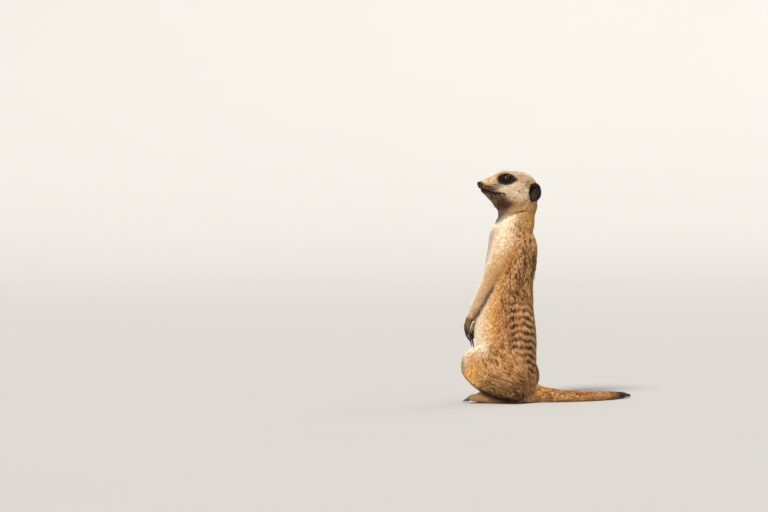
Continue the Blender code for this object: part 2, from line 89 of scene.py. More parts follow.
SIDE_SHEAR = 0.13  # how much further ahead the marks of the face lie for each step out from the midline


def middle(node):
    """The middle of a solid's box, in metres."""
    low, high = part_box(node)
    return (low + high) / 2


EYE_RADIUS = (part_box("eye_left")[1].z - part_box("eye_left")[0].z) / 2 / MM
LEFTWARD = (middle("eye_left") - middle("eye_right")).normalized()
FORWARD = LEFTWARD.cross(UP)
HEAD_AXES = np.array([FORWARD, LEFTWARD, UP])
TURNING_POINT = (middle("eye_left") + middle("eye_right")) / 2 - (FORWARD * EYE_AHEAD + UP * EYE_ABOVE) * MM
HEAD_ORIGIN = np.array(TURNING_POINT)
BODY_ORIGIN = np.array(TURNING_POINT - HEAD_AT * MM)


def in_body(points):
    """Points in metres, told in the body's frame."""
    return (points - BODY_ORIGIN) / MM


def in_head(points):
    """Points in metres, told in the head's frame."""
    return (points - HEAD_ORIGIN) / MM @ HEAD_AXES.T


def out_of_head(head):
    """Points told in the head's frame, brought back to metres."""
    return HEAD_ORIGIN + head @ HEAD_AXES * MM


def head_way(way):
    """A direction in the head's frame, as a unit vector."""
    return Vector(np.array(way) @ HEAD_AXES).normalized()


def seen_beside(head):
    """How far ahead and how far up each place lies on a side view of the turned head."""
    return head[:, 0] - SIDE_SHEAR * np.abs(head[:, 1]), head[:, 2]


def tail_line(steps=80):
    """Points along the middle of the tail, the way it runs at each and how far along it lies, 0 to 1."""
    share = np.linspace(0, 1, steps)
    heading = np.radians(TAIL_HEADING + TAIL_TURN * share)
    way = np.stack([-np.sin(heading), np.cos(heading), 0 * share], 1)
    return np.array(TAIL_START) + np.cumsum(way, 0) * TAIL_LENGTH / steps, way, share


def tree_of(spots):
    """A tree that finds the nearest of these places."""
    tree = KDTree(len(spots))
    for index, spot in enumerate(spots.tolist()):
        tree.insert(spot, index)
    tree.balance()
    return tree


def along_tail(body):
    """How far along the tail each place lies, from 0 at the rump to 1 at the tip."""
    line, _, share = tail_line()
    tree = tree_of(line)
    return share[[tree.find(place)[1] for place in body.tolist()]]


# -------------------------------------------------------------------------------- small sums


def ramp(values, low, high):
    """0 below low, 1 above high and a smooth rise between; low may be the larger."""
    t = np.clip((values - low) / (high - low), 0, 1)
    return t * t * (3 - 2 * t)


def bulge(values, centre, width):
    """1 at the centre, falling off to both sides."""
    return np.exp(-(((values - centre) / width) ** 2))


def unit(vectors):
    """The same vectors, all 1 long."""
    return vectors / np.maximum(np.linalg.norm(vectors, axis=-1, keepdims=True), 1e-9)


def largest(*values):
    """The largest of several arrays at each place."""
    return np.maximum.reduce(values)


def oval(x, y, centre, size, turn=0.0, soft=0.25):
    """1 inside an oval with these half sizes, falling to 0 just outside it."""
    c, s = math.cos(math.radians(turn)), math.sin(math.radians(turn))
    dx, dy = x - centre[0], y - centre[1]
    reach = np.hypot((dx * c + dy * s) / size[0], (dy * c - dx * s) / size[1])
    return ramp(reach, 1 + soft, 1 - soft)


def flecked(x, y):
    """Irregular spots about 2 across, from 0 to 1."""
    waves = np.sin(1.7 * x + 2.0 * np.sin(0.9 * y)) * np.sin(1.5 * y + 1.3 * np.sin(1.1 * x))
    return ramp(waves, 0.05, 0.7)


def off_line(x, y, line):
    """How far each point lies from a line of straight runs."""
    best = np.full(len(x), 1e9)
    for (ax, ay), (bx, by) in zip(line, line[1:]):
        run = np.array([bx - ax, by - ay])
        t = np.clip(((x - ax) * run[0] + (y - ay) * run[1]) / (run @ run), 0, 1)
        best = np.minimum(best, np.hypot(x - ax - t * run[0], y - ay - t * run[1]))
    return best


# -------------------------------------------------------------------------------- settings


def shade(red, green, blue):
    """A screen colour, 0 to 255, as the linear colour that shaders use."""
    shares = (value / 255 for value in (red, green, blue))
    return tuple(((c + 0.055) / 1.055) ** 2.4 if c > 0.04 else c / 12.92 for c in shares)


def colour_of(name, description, default):
    return bpy.props.FloatVectorProperty(
        name=name, description=description, subtype="COLOR", size=3, min=0, max=1, default=shade(*default)
    )


def length_of(name, description, default):
    return bpy.props.FloatProperty(name=name, description=description, unit="LENGTH", min=0, default=default)


def amount_of(name, description, default):
    return bpy.props.FloatProperty(name=name, description=description, min=0, default=default)


HAIR_LENGTHS = {
    "head": 3.0, "lower_jaw": 3.4, "ear": 1.7, "neck": 6.5, "trunk": 8.6, "upper_arm": 5.6, "forearm": 4.4,
    "forepaw": 2.0, "thigh": 11.5, "shank": 8.0, "hind_foot": 2.8, "tail": 9.0, "tail_tip": 9.0,
}  # fmt: skip


class MeerkatSkin(bpy.types.PropertyGroup):
    voxel: length_of("Voxel", "Grain of the skin's mesh, before its fine parts are divided", 0.00165)
    swell: length_of("Swell", "How far each solid grows so that the thin cuts between them close", 0.0004)
    lid: length_of("Lid", "How far the eyelids stand off the eyeball", 0.0006)
    bump: length_of("Bump", "Depth of the fine hair pattern on the skin", 0.0004)


class MeerkatCoat(bpy.types.PropertyGroup):
    width: amount_of("Tuft width", "Times the usual width of a tuft", 1.0)
    number: amount_of("Tufts", "Times the usual number of tufts", 1.0)
    depth: amount_of("Depth", "Times the usual depth of the coat", 1.0)
    lock: amount_of("Locks", "How far tufts lean together into locks, 0 to 1", 0.5)
    __annotations__.update({
        part: length_of(part.replace("_", " ").capitalize(), f"Length of the hair on the {part}", hair * MM)
        for part, hair in HAIR_LENGTHS.items()
    })  # fmt: skip


class MeerkatColours(bpy.types.PropertyGroup):
    gold: colour_of("Gold", "Ground colour of the coat", (240, 184, 106))
    cream: colour_of("Cream", "Throat, chest, belly and cheeks", (252, 231, 196))
    # Rust, brown, black and grey also paint shade: brown under the limbs, on the knee's front, behind the
    # arms, on the feet and in the arm's crease; rust on the feet; black and grey on the throat under the jaw;
    # black in the fold behind the jaw, between the digits and on the fingers.
    rust: colour_of("Rust", "Tail, crown and the streaks of the flank", (206, 116, 58))
    brown: colour_of("Brown", "Dark flecks and the bands across the back", (58, 29, 16))
    black: colour_of("Black", "Eye patches, ears and tip of the tail", (24, 15, 13))
    grey: colour_of("Grey", "Thinly haired skin of the throat and breast", (182, 152, 138))
    iris: colour_of("Iris", "Iris of the eye", (27, 16, 11))
    nose: colour_of("Nose", "Bare skin of the nose", (26, 19, 18))
    claw: colour_of("Claw", "Horn of the claws", (62, 46, 36))
    floor: colour_of("Floor", "Studio floor", (186, 183, 178))


class MeerkatStage(bpy.types.PropertyGroup):
    azimuth: amount_of("Azimuth", "Degrees round the animal that the camera looks from", 105)
    elevation: amount_of("Elevation", "Degrees above the horizon that the camera looks from", 1)
    distance: length_of("Distance", "From the camera to the animal", 3.5)
    lens: amount_of("Lens", "Focal length in millimetres", 135)
    key: amount_of("Key light", "Strength of the light from the front and left of the camera", 4.8)
    fill: amount_of("Fill light", "Strength of the soft light from the right", 0.3)
    rim: amount_of("Rim light", "Strength of the light from behind", 0.5)
    sky: amount_of("Sky", "Strength of the light from all round", 0.42)


def settings(group):
    return getattr(bpy.context.scene, f"meerkat_{group}")


# -------------------------------------------------------------------------------- mesh helpers


def only(*objects):
    """These objects are selected and nothing else is; the first is active."""
    bpy.ops.object.select_all(action="DESELECT")
    for piece in objects:
        piece.select_set(True)
    bpy.context.view_layer.objects.active = objects[0]


def new_object(name, mesh):
    piece = bpy.data.objects.new(name, mesh)
    bpy.context.collection.objects.link(piece)
    return piece


def numbers(items, name, width=1, kind=float):
    """One property of every item of a mesh as an array."""
    found = np.empty(len(items) * width, kind)
    items.foreach_get(name, found)
    return found.reshape(-1, width) if width > 1 else found


def places(mesh):
    return numbers(mesh.vertices, "co", 3)


def normals_of(mesh):
    return numbers(mesh.vertices, "normal", 3)


def edges_of(mesh):
    return numbers(mesh.edges, "vertices", 2, np.int32)


def set_places(mesh, points):
    mesh.vertices.foreach_set("co", points.ravel())
    mesh.update()


def store(mesh, name, values):
    """Keeps an array of numbers or vectors on the mesh's vertices."""
    kind, field = ("FLOAT_VECTOR", "vector") if values.ndim == 2 else ("FLOAT", "value")
    mesh.attributes.new(name, kind, "POINT").data.foreach_set(field, values.astype(np.float32).ravel())


def stored(mesh, name):
    """What store kept under this name."""
    attribute = mesh.attributes[name]
    is_vector = attribute.data_type == "FLOAT_VECTOR"
    return numbers(attribute.data, "vector", 3) if is_vector else numbers(attribute.data, "value")


def triangle_mesh(name, points, triangles):
    """A smooth mesh from arrays of points and of triangles."""
    mesh = bpy.data.meshes.new(name)
    mesh.vertices.add(len(points))
    mesh.vertices.foreach_set("co", points.astype(np.float32).ravel())
    mesh.loops.add(triangles.size)
    mesh.loops.foreach_set("vertex_index", triangles.astype(np.int32).ravel())
    mesh.polygons.add(len(triangles))
    mesh.polygons.foreach_set("loop_start", np.arange(0, triangles.size, 3, dtype=np.int32))
    mesh.update(calc_edges=True)
    mesh.shade_smooth()
    return mesh


def blurred(values, edges, rounds, share=0.5):
    """values, told for each vertex, averaged with their neighbours' again and again.

    share is how far each round goes. It may vary by vertex, and of a pair the rounds take turns.
    """
    flat = values.reshape(len(values), -1).astype(float)
    a, b = edges.T
    count = np.bincount(edges.ravel(), minlength=len(flat))[:, None]
    shares = share if isinstance(share, tuple) else (share,)
    for turn in range(rounds):
        near = [np.bincount(a, v[b], len(flat)) + np.bincount(b, v[a], len(flat)) for v in flat.T]
        part = shares[turn % len(shares)]
        flat = flat + (part if np.isscalar(part) else part[:, None]) * (np.stack(near, 1) / count - flat)
    return flat.reshape(values.shape)


def merged_copy(node, swell=0.0):
    """A copy of a solid with its loose triangles joined up, grown outward by swell."""
    piece = new_object(node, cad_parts[node].data.copy())
    piece.data.materials.clear()
    only(piece)
    bpy.ops.object.mode_set(mode="EDIT")
    bpy.ops.mesh.select_all(action="SELECT")
    bpy.ops.mesh.remove_doubles(threshold=1e-6)
    bpy.ops.object.mode_set(mode="OBJECT")
    set_places(piece.data, places(piece.data) + normals_of(piece.data) * swell)
    return piece


def joined(name, pieces):
    """All pieces as one object with this name."""
    only(*pieces)
    if len(pieces) > 1:
        bpy.ops.object.join()
    pieces[0].name = pieces[0].data.name = name
    return pieces[0]


def remeshed(piece, voxel):
    """Makes one closed skin of everything in the piece."""
    only(piece)
    remesh = piece.modifiers.new("Voxels", "REMESH")
    remesh.mode = "VOXEL"
    remesh.voxel_size = voxel
    bpy.ops.object.modifier_apply(modifier=remesh.name)


def divided(piece, chosen):
    """Divides the faces that chosen, told for each vertex, takes in whole."""
    only(piece)
    bpy.ops.object.mode_set(mode="EDIT")
    bpy.ops.mesh.select_mode(type="FACE")
    bpy.ops.mesh.select_all(action="DESELECT")
    bpy.ops.object.mode_set(mode="OBJECT")
    for face in piece.data.polygons:
        face.select = all(chosen[v] for v in face.vertices)
    bpy.ops.object.mode_set(mode="EDIT")
    bpy.ops.mesh.subdivide(number_cuts=1, smoothness=0, ngon=False)
    bpy.ops.object.mode_set(mode="OBJECT")


def smooth_shaded(piece):
    only(piece)
    bpy.ops.object.shade_smooth()


def dressed(piece, material, slot, *nodes):
    """Gives a finished piece its material and its body and hides the solids it stands for; slot is not used.
    """
    piece.data.materials.clear()
    piece.data.materials.append(material)
    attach(piece, "root")
    if nodes:
        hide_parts(*nodes)


# -------------------------------------------------------------------------------- markings

REGIONS = {
    "torso": ("trunk", "neck"), "arm": ("upper_arm", "forearm"), "thigh": ("thigh", "shank"),
    "foot": ("hind_foot", "forepaw"), "tail": ("tail",), "tip": ("tail_tip",), "ear": ("ear",),
    "face": ("head", "lower_jaw"),
}  # fmt: skip
BROAD_REGIONS = ("torso", "arm", "thigh")  # these run into each other over a wide strip

# Ovals on a side view of the head: centre, half sizes, turn in degrees and how softly each ends.
FACE_MARKS = {
    "cheek": ((3, -2), (23, 11), 8, 0.45),
    "brow": ((-3, 18.5), (21, 6.6), 16, 0.5),
    "bridge": ((33, 11), (14, 6), 0, 0.5),
    "chop": ((27, 1), (11, 5), 0, 0.5),
    "crown_rust": ((4, 15), (8, 2.6), -12, 0.6),
    "bridge_rust": ((21, 18.6), (7, 3), 0, 0.5),
    "whisker_bed": ((30, 4.0), (9, 4.6), -6, 0.5),
    "whisker_pad": ((35, 4.2), (6.5, 5.5), 0, 0.5),
    "muzzle": ((43.5, 3.4), (8, 4.8), 20, 0.5),
    "chin": ((27, -9.5), (18, 6.5), 32, 0.6),
    "jaw": ((20, -12), (22, 12), 28, 0.5),
    "jowl": ((0, -6), (16, 10), 0, 0.5),
    "long_streak": ((-9.5, 6.5), (2.6, 6), 20, 0.6),
    "short_streak": ((-4, 2.5), (1.4, 6), 25, 0.6),
    "eye_patch": ((16.2, 12.4), (11.2, 7.2), -4, 0.16),
    "patch_end": ((8.4, 12.0), (5.6, 3.2), 4, 0.4),
    "lower_lip": ((42, -2.0), (7, 2.0), 24, 0.7),
    "cheek_spot": ((1.2, -1.8), (1.7, 1.3), 20, 0.6),
    "jaw_spot": ((6.0, -9.2), (1.7, 1.3), 20, 0.6),
    "ear_tuft": ((EAR_SPOT[0] + EAR_SIZE[0] + 1.5, EAR_SPOT[1] - 2), (3.5, 8.5), 0, 0.5),
}
PAD = ((47.2, 6.8), (4.1, 3.1), 20)  # the bare pad of the nose, in the same way
WHISKER_ROW = 2.9  # from one row of whiskers to the next
BAR_STEP, BAR_HEIGHT = 8.9, 94.5  # from one dark bar of the back to the next, and the height of one
BACK_BLOTCHES = ((41, 183), (24, 172), (43, 163), (40, 144), (60, 133), (30, 128))  # angle and height
BLOTCH_SIZE = (13, 4.5)  # half its width in degrees and half its height


def face_mark(head, name):
    return oval(*seen_beside(head), *FACE_MARKS[name])


def on_pad(head, soft=0.15):
    """1 on the bare pad of the nose and 0 off it."""
    return oval(*seen_beside(head), *PAD, soft) * ramp(np.abs(head[:, 1]), 7.0, 6.0)


def region_shares(parts, edges):
    """How much each vertex belongs to each region, from 0 to 1 and soft where regions meet."""
    near = {name: np.isin(parts, members) * 1.0 for name, members in REGIONS.items()}
    shares = {name: blurred(near[name], edges, 5) for name in REGIONS if name not in BROAD_REGIONS}
    rest = 1 - sum(shares.values())
    broad = {name: blurred(near[name], edges, 40) for name in BROAD_REGIONS}
    total = sum(broad.values()).clip(1e-3)
    shares.update({name: rest * broad[name] / total for name in BROAD_REGIONS})
    return SimpleNamespace(**shares)


def bars_of(at):
    """Where the lower back is barred, and a wave that is 1 along the middle of each dark bar.

    The bars arch up in the middle of each side and sag towards the spine and the flank.
    """
    sag = 5.5 * np.clip((46 - at.angle) / 42, 0, 2) ** 2 + 2.2 * np.clip((at.angle - 50) / 15, 0, 2) ** 2
    sag += 0.9 * np.sin(at.angle / 6.1 + at.z / 9.0) + 0.6 * np.sin(at.angle / 3.3 - at.z / 5.0)
    barred = at.soft.torso + 0.4 * at.soft.thigh * ramp(at.y, -16, -4)
    barred = barred * ramp(at.angle, 79, 62) * ramp(at.z, 12, 44) * ramp(at.z, 128, 116)
    return barred, np.cos(2 * math.pi * (at.z + sag - BAR_HEIGHT) / BAR_STEP)


def look_round(at):
    """Adds what several markings go by: which way the skin faces, the knee, the bars and the throat."""
    at.x, at.y, at.z = at.body.T
    at.ahead, at.above = seen_beside(at.head)
    at.face_marks = {name: face_mark(at.head, name) for name in FACE_MARKS}
    at.front = ramp(-at.normals[:, 1], 0.1, 0.9)
    at.rear = ramp(at.normals[:, 1], -0.2, 0.7)
    at.inner = ramp(-at.normals[:, 0] * np.sign(at.x), 0.0, 0.7)
    at.tail_share = along_tail(at.body)
    at.grizzle = ramp(at.angle, 104, 76) * (0.8 + 0.2 * ramp(at.angle, 70, 45))
    knee_top = ramp(at.z, 50, 64) * ramp(at.angle, 78, 96) * ramp(at.y, -20, -36)
    at.knee = np.maximum(0.9 * ramp(at.y, -44, -58) * ramp(at.z, 34, 58), knee_top)
    at.barred, at.wave = bars_of(at)
    fold_line = np.array(JAW_FOLD[::-1])
    at.over_fold = ramp(at.above - np.interp(at.ahead, fold_line[:, 0], fold_line[:, 1]), -1, 2)
    # The throat under the jaw and above the fold, which black_of and grey_of darken as painted shade.
    throat = ramp(at.above, -9, -18) * ramp(at.ahead + 0.55 * at.above, -7, 5)
    at.throat = throat * at.over_fold * ramp(at.z, 195, 205)


def cream_of(at):
    """Cream throat, chest, belly and cheeks, which run into gold at the flank, the shoulder and the knee."""
    edge = 113 - 44 * ramp(at.z, 170, 205)
    shoulder = ramp(at.z, 146, 184)
    full = np.maximum(ramp(at.z, 168, 205), ramp(at.angle, 120, 146))
    cream = at.soft.torso * ramp(at.angle, edge - 15, edge + 13) * (0.62 + 0.38 * full)
    low_arm = 0.14 + 0.7 * at.front + 0.3 * at.inner + 0.34 * ramp(at.z, 158, 138)
    high_arm = 0.1 + 0.75 * ramp(at.angle, edge - 30, edge + 10)
    cream += at.soft.arm * (low_arm * (1 - shoulder) + high_arm * shoulder)
    cream += at.soft.thigh * np.clip(at.knee + 0.35 * at.inner, 0, 1)
    # The grooves between the digits get no cream: part of their painted shade.
    cream += at.soft.foot * (0.22 - 0.22 * at.grooves)
    shares = {"cheek": 0.9, "brow": 0.95, "bridge": 0.55, "chop": 0.4}
    cream += at.soft.face * np.clip(sum(share * at.face_marks[name] for name, share in shares.items()), 0, 1)
    return cream + 0.5 * at.barred * ramp(at.wave, 0.0, -0.6)


def fleck_of(at):
    """Flecks of dark and pale hair over the back, the haunch, the tail and the face."""
    fleck = at.soft.torso * at.grizzle * (0.5 + 0.5 * ramp(at.z, 218, 196))
    fleck += at.soft.thigh * (0.1 + 0.7 * ramp(at.y, -52, -22)) * ramp(at.z, 6, 24) * (1 - 0.85 * at.knee)
    fleck += 0.6 * at.soft.tail + 0.15 * at.soft.arm * at.rear
    fleck += at.soft.face * (0.5 - 0.12 * at.face_marks["cheek"])
    return fleck * (1 - 0.6 * at.barred)


def rust_of(at):
    """Rust between the dark back and the gold flank, on the haunch and the tail, and over the brow."""
    rust = at.soft.torso * ramp(at.angle, 104, 84) * ramp(at.z, 214, 190)
    rust *= 0.45 + 0.3 * ramp(at.angle, 50, 70)
    haunch = 0.08 + 0.3 * ramp(at.y, -40, 0) + 0.15 * ramp(at.z, 60, 10) * ramp(at.y, -40, -10)
    rust += at.soft.thigh * haunch + at.soft.tail * (0.5 + 0.35 * at.tail_share)
    # The rust on the feet is part of their painted shade, darker and redder than the gold.
    rust += at.soft.arm * (0.04 + 0.3 * at.rear) + 0.25 * at.soft.foot
    crown = 0.3 * ramp(at.ahead, 4, -16) * ramp(at.above, 6, 12) * (1 - 0.8 * ramp(at.above, 15, 20))
    rust += at.soft.face * (crown + 0.55 * at.face_marks["crown_rust"] + 0.6 * at.face_marks["bridge_rust"])
    return rust * (1 + 0.35 * at.barred)


def back_band(at):
    """Bars over the lower back, darkest in two clumps on each side, with fainter marks above them."""
    angle, z = at.angle, at.z
    clumps = np.maximum(bulge(angle, 62, 8) * ramp(z, 52, 72), bulge(angle, 28, 15) * ramp(z, 122, 100))
    clumps = np.clip(clumps + 0.8 * flecked(0.3 * angle, 0.34 * z + 5), 0, 1)
    band = at.barred * ramp(at.wave, 0.05 - 0.4 * clumps, 0.4 - 0.3 * clumps) * (0.5 + 0.5 * clumps)
    upper = at.soft.torso * ramp(angle, 66, 46) * ramp(z, 118, 130) * ramp(z, 202, 184)
    band += 0.42 * upper * ramp(at.wave, 0, 0.5) * (0.3 + 0.7 * flecked(0.25 * angle, 0.3 * z))
    for blotch in BACK_BLOTCHES:
        band = np.maximum(band, 0.5 * at.soft.torso * oval(angle, z, blotch, BLOTCH_SIZE, soft=0.8))
    streaked = flecked(0.42 * angle, 0.5 * z) * at.grizzle * (1 - at.barred) * ramp(z, 216, 196)
    band += (0.44 - 0.14 * ramp(angle, 66, 46)) * at.soft.torso * streaked
    band += 0.16 * at.soft.torso * ramp(angle, 150, 168) * ramp(z, 150, 172)
    return band + 0.14 * at.soft.torso * ramp(angle, 84, 58) * ramp(z, 200, 208)


def limb_streaks_and_shade(at):
    """Slanting streaks on the haunch, and painted shade under the limbs, low on the haunch, on the knee's
    front, behind the arms and on the feet.
    """
    y, z, down = at.y, at.z, -at.normals[:, 2]
    lean = flecked(0.75 * (0.77 * y + 0.64 * z), 0.4 * (0.64 * y - 0.77 * z))
    lean *= ramp(y, -54, -30) * (1 - at.knee)
    # Painted shade: darker where the skin faces down and low on the haunch, as in the shadow under the body.
    under = 0.45 * ramp(down, 0.2, 0.8) + 0.62 * ramp(z, 40, 10) * ramp(y, -52, -24)
    # The lower front of the knee is darker: mostly painted shade, as if lit from above, and partly its short
    # greyish hair.
    band = at.soft.thigh * (0.4 * lean + under + 0.56 * ramp(y, -53, -64) * ramp(z, 70, 54))
    # Painted shade on the side of the arm that faces back, below the elbow.
    rear_arm_shade = 0.4 * ramp(at.normals[:, 1], 0.45, 0.95) * ramp(z, 165, 150)
    band += at.soft.arm * (rear_arm_shade + 0.12 * ramp(z, 172, 158) * (1 - at.front))
    # Painted shade over the feet and paws, as if in the thigh's shadow, deepest in the grooves between the
    # digits and on the forepaws, whose fingers are also partly dark of their own.
    return band + at.soft.foot * (0.56 + 0.3 * at.grooves + 0.2 * ramp(z, 60, 68))


def face_band(at):
    """Brown muzzle and jaw, with rows of whisker spots, and streaks behind the eye."""
    marks = at.face_marks
    rows = 0.5 + 0.5 * np.cos(2 * math.pi * (at.above - 0.2 * at.ahead) / WHISKER_ROW)
    band = marks["whisker_bed"] * (0.28 + 0.4 * rows) + 0.62 * marks["muzzle"] + 0.74 * marks["chin"]
    band = np.clip(band + 0.36 * (marks["long_streak"] + 0.7 * marks["short_streak"]), 0, 0.84)
    # More dark flecks on the jaw and the jowl.
    jaw_speckle = np.maximum(marks["jaw"], 0.6 * marks["jowl"])
    return at.soft.face * (band + flecked(0.7 * at.ahead, 0.8 * at.above) * (0.1 + 0.34 * jaw_speckle))


def black_of(at):
    """Black eye patches, ears, lips, nose and tail tip, with painted shade on the throat under the golden
    jaw, in the fold behind the jaw, in the grooves between the digits and on the fingers, which are partly
    dark of their own.
    """
    marks, soft = at.face_marks, at.soft
    lips = 1.6 + 1.5 * ramp(at.ahead, 16, 40) + 0.35 * np.sin(at.ahead * 1.1) + 0.25 * np.sin(at.ahead * 2.3)
    face = largest(
        marks["eye_patch"], marks["patch_end"], on_pad(at.head, 0.4),
        0.94 * ramp(at.mouth, lips, lips * 0.5) * ramp(at.ahead, 14, 18),
        0.85 * marks["lower_lip"], 0.6 * marks["cheek_spot"], 0.6 * marks["jaw_spot"],
    )  # fmt: skip
    olive = 0.3 * ramp(at.above, -2, -14) * ramp(at.ahead, -2, 14) * at.over_fold
    pinna = ramp(at.reach, 1.1, 0.94) * ramp(np.abs(at.head[:, 1]), 17.5, 19.5)
    inside = 1 - 0.015 * ramp(at.reach, 0.72, 0.4) - 0.03 * at.ridge
    return largest(
        # The second entry holds painted shade: black on the throat under the jaw.
        soft.face * face, (soft.face + soft.torso) * np.maximum(0.72 * at.throat, olive * soft.face),
        (soft.ear + soft.face * pinna) * inside, 0.95 * soft.tip,
        0.6 * soft.tail * ramp(at.tail_share, 0.58, 0.72),
        # Painted shade in the fold behind the jaw.
        0.4 * soft.torso * ramp(at.fold, 3.0, 0.8) * ramp(at.ahead, -8, 6),
        # Painted shade in the grooves between the digits; on the fingers, partly their own dark skin and
        # partly painted shade.
        soft.foot * (0.45 * at.grooves + 0.72 * at.digits * ramp(at.z, 60, 68)),
        at.lid_rim,
    )  # fmt: skip


def grey_of(at):
    """Thin hair on the breast, where the skin shows, painted shade in grey on the throat under the jaw, and
    grey on the fold in the ear.
    """
    high = ramp(at.z, 148, 184)
    breast = ramp(at.angle, 128 - 26 * high, 152 - 10 * high) * (0.2 + 0.6 * high)
    grey = at.soft.torso * breast * ramp(at.z, 60, 80) * ramp(at.z, 216, 205)
    # Painted shade: grey on the throat under the jaw.
    grey += (at.soft.face + at.soft.torso) * 0.9 * at.throat * ramp(at.above, -15, -25)
    return grey + 0.3 * at.ridge + 0.3 * at.soft.face * (1 - at.throat)


def markings(at):
    """How much of each colour the coat has at each vertex: (cream, fleck, band) and (rust, black, grey)."""
    look_round(at)
    band = np.clip(back_band(at) + limb_streaks_and_shade(at) + face_band(at), 0, 1)
    # The band also darkens the crease where the low arm lies on the flank: painted shade.
    marks = (cream_of(at), fleck_of(at), np.maximum(band, 0.75 * at.crease))
    tints = (rust_of(at), black_of(at), grey_of(at))
    return [np.clip(np.stack(group, 1), 0, 1) for group in (marks, tints)]


# -------------------------------------------------------------------------------- the skin

FLESH = [node for node in sorted(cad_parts) if not node.startswith(("claw", "eye", "nose"))]
PARTS = list(HAIR_LENGTHS)
FINE_PARTS = ("head", "lower_jaw", "ear", "forepaw", "hind_foot")
FINE_ROUND_EYES, FINE_ROUND_FINGERS, FINE_ROUND_TOES = 8.5, 11, 15  # divided once more this near to them
SKIN_OFF_FLOOR = 0.0003
LID_CORNER, LID_GAP = 0.8, 0.55  # half the width and half the height of the opening, in eye radii
LID_REACH = 9.5  # the lids end this far from the middle of the eye
MOUTH_DEPTH, LIP_HEIGHT, JAW_FOLD_DEPTH, NOSE_BED, PAD_HEIGHT = 1.2, 0.4, 2.6, 1.1, 0.5
RIM_HEIGHT, BOWL_DEPTH, EAR_FOLD_HEIGHT = 1.6, 3.4, 2.2
FINGER_STEP, TOE_STEP = 3.7, 4.9  # from the middle of a digit to the next
GROOVE_WIDTH, GROOVE_DEPTH = 0.17, 0.34  # of the grooves between digits, as shares of that step
CREASE_DEPTH = 1.2
GIRTH_LEVELS = np.arange(16, 236, 12.0)  # heights at which the trunk's girth is measured


def part_of(node):
    """A solid's name without its side."""
    return node.removesuffix("_left").removesuffix("_right")


def nearest_flesh(points):
    """The name of the solid that lies nearest to each point, and that name without its side."""
    corners, faces, owner = [], [], []
    for index, node in enumerate(FLESH):
        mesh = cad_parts[node].data
        start = len(corners)
        corners += [tuple(v.co) for v in mesh.vertices]
        faces += [tuple(start + v for v in face.vertices) for face in mesh.polygons]
        owner += [index] * len(mesh.polygons)
    tree = BVHTree.FromPolygons(corners, faces)
    nearest = [owner[tree.find_nearest(point)[2]] for point in points.tolist()]
    return np.array(FLESH)[nearest], np.array([part_of(node) for node in FLESH])[nearest]


def round_trunk(body):
    """The angle round the trunk in degrees, 0 on the back and 180 on the front."""
    trunk = in_body(np.concatenate([places(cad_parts[n].data) for n in ("trunk", "neck")]))
    depth, middle_y, half_width = [], [], []
    for level in GIRTH_LEVELS:
        ring = trunk[np.abs(trunk[:, 2] - level) < 9]
        depth.append(np.ptp(ring[:, 1]) / 2)
        middle_y.append((ring[:, 1].max() + ring[:, 1].min()) / 2)
        half_width.append(np.ptp(ring[:, 0]) / 2)
    x, y, z = body.T
    back = (y - np.interp(z, GIRTH_LEVELS, middle_y)) / np.interp(z, GIRTH_LEVELS, depth)
    return np.degrees(np.arctan2(np.abs(x / np.interp(z, GIRTH_LEVELS, half_width)), back))


def pinched(points):
    """The snout made narrower towards its tip."""
    head = in_head(points)
    head[:, 1] *= 1 - 0.3 * ramp(head[:, 0], 27, 45) * ramp(head[:, 2], -32, -26)
    return out_of_head(head)


def lie_of_thigh(body, normals):
    """Down the haunch, and further back the lower and the nearer the rump; over the knee, forwards."""
    turn = 0.55 * ramp(body[:, 1], -62, -18) + 0.6 * ramp(body[:, 2], 68, 14)
    turn = np.radians(50) * np.clip(turn, 0, 1)
    knee = ramp(normals[:, 2], 0.15, 0.8) * ramp(body[:, 1], -20, -40)
    return np.stack([0 * turn, np.sin(turn) - knee, 0.2 - np.cos(turn)], 1)


def lie_of_coat(at, edges):
    """The way the hair runs at each vertex, along the skin."""
    off_nose = at.head - np.array(NOSE_TIP)
    off_nose[:, 2] -= 8 * ramp(at.head[:, 0], 10, -15)
    way = off_nose @ HEAD_AXES
    torso = np.isin(at.names, ("trunk", "neck"))
    rump = ramp(at.z, 70, 10)
    way[torso] = np.stack([0 * rump, 0.12 + 0.75 * rump, -1 + 0.2 * rump], 1)[torso]
    on_thigh = lie_of_thigh(at.body, at.normals)
    limbs = (
        ("upper_arm", SHOULDER, ELBOW), ("forearm", ELBOW, WRIST), ("forepaw", WRIST, FINGERS),
        ("hind_foot", HEEL, TOES),
    )  # fmt: skip
    for side in SIDES:
        for part, start, end in limbs:
            way[at.names == f"{part}_{side}"] = np.subtract(end[side], start[side])
        way[at.names == f"shank_{side}"] = (0, 0.86, -0.5)
        thigh, ear = (at.names == f"{part}_{side}" for part in ("thigh", "ear"))
        way[thigh] = on_thigh[thigh]
        ear_base = in_body(np.array([middle(f"ear_{side}")]))[0] - (0, 0, 9)
        way[ear] = (at.body - ear_base)[ear]
    _, ways, share = tail_line()
    tail = np.isin(at.names, ("tail", "tail_tip"))
    way[tail] = ways[np.searchsorted(share, at.tail_share[tail])]
    way = unit(way)
    for _ in range(6):
        way = blurred(way, edges, 12)
        way = unit(way - at.normals * (way * at.normals).sum(1, keepdims=True))
    return way


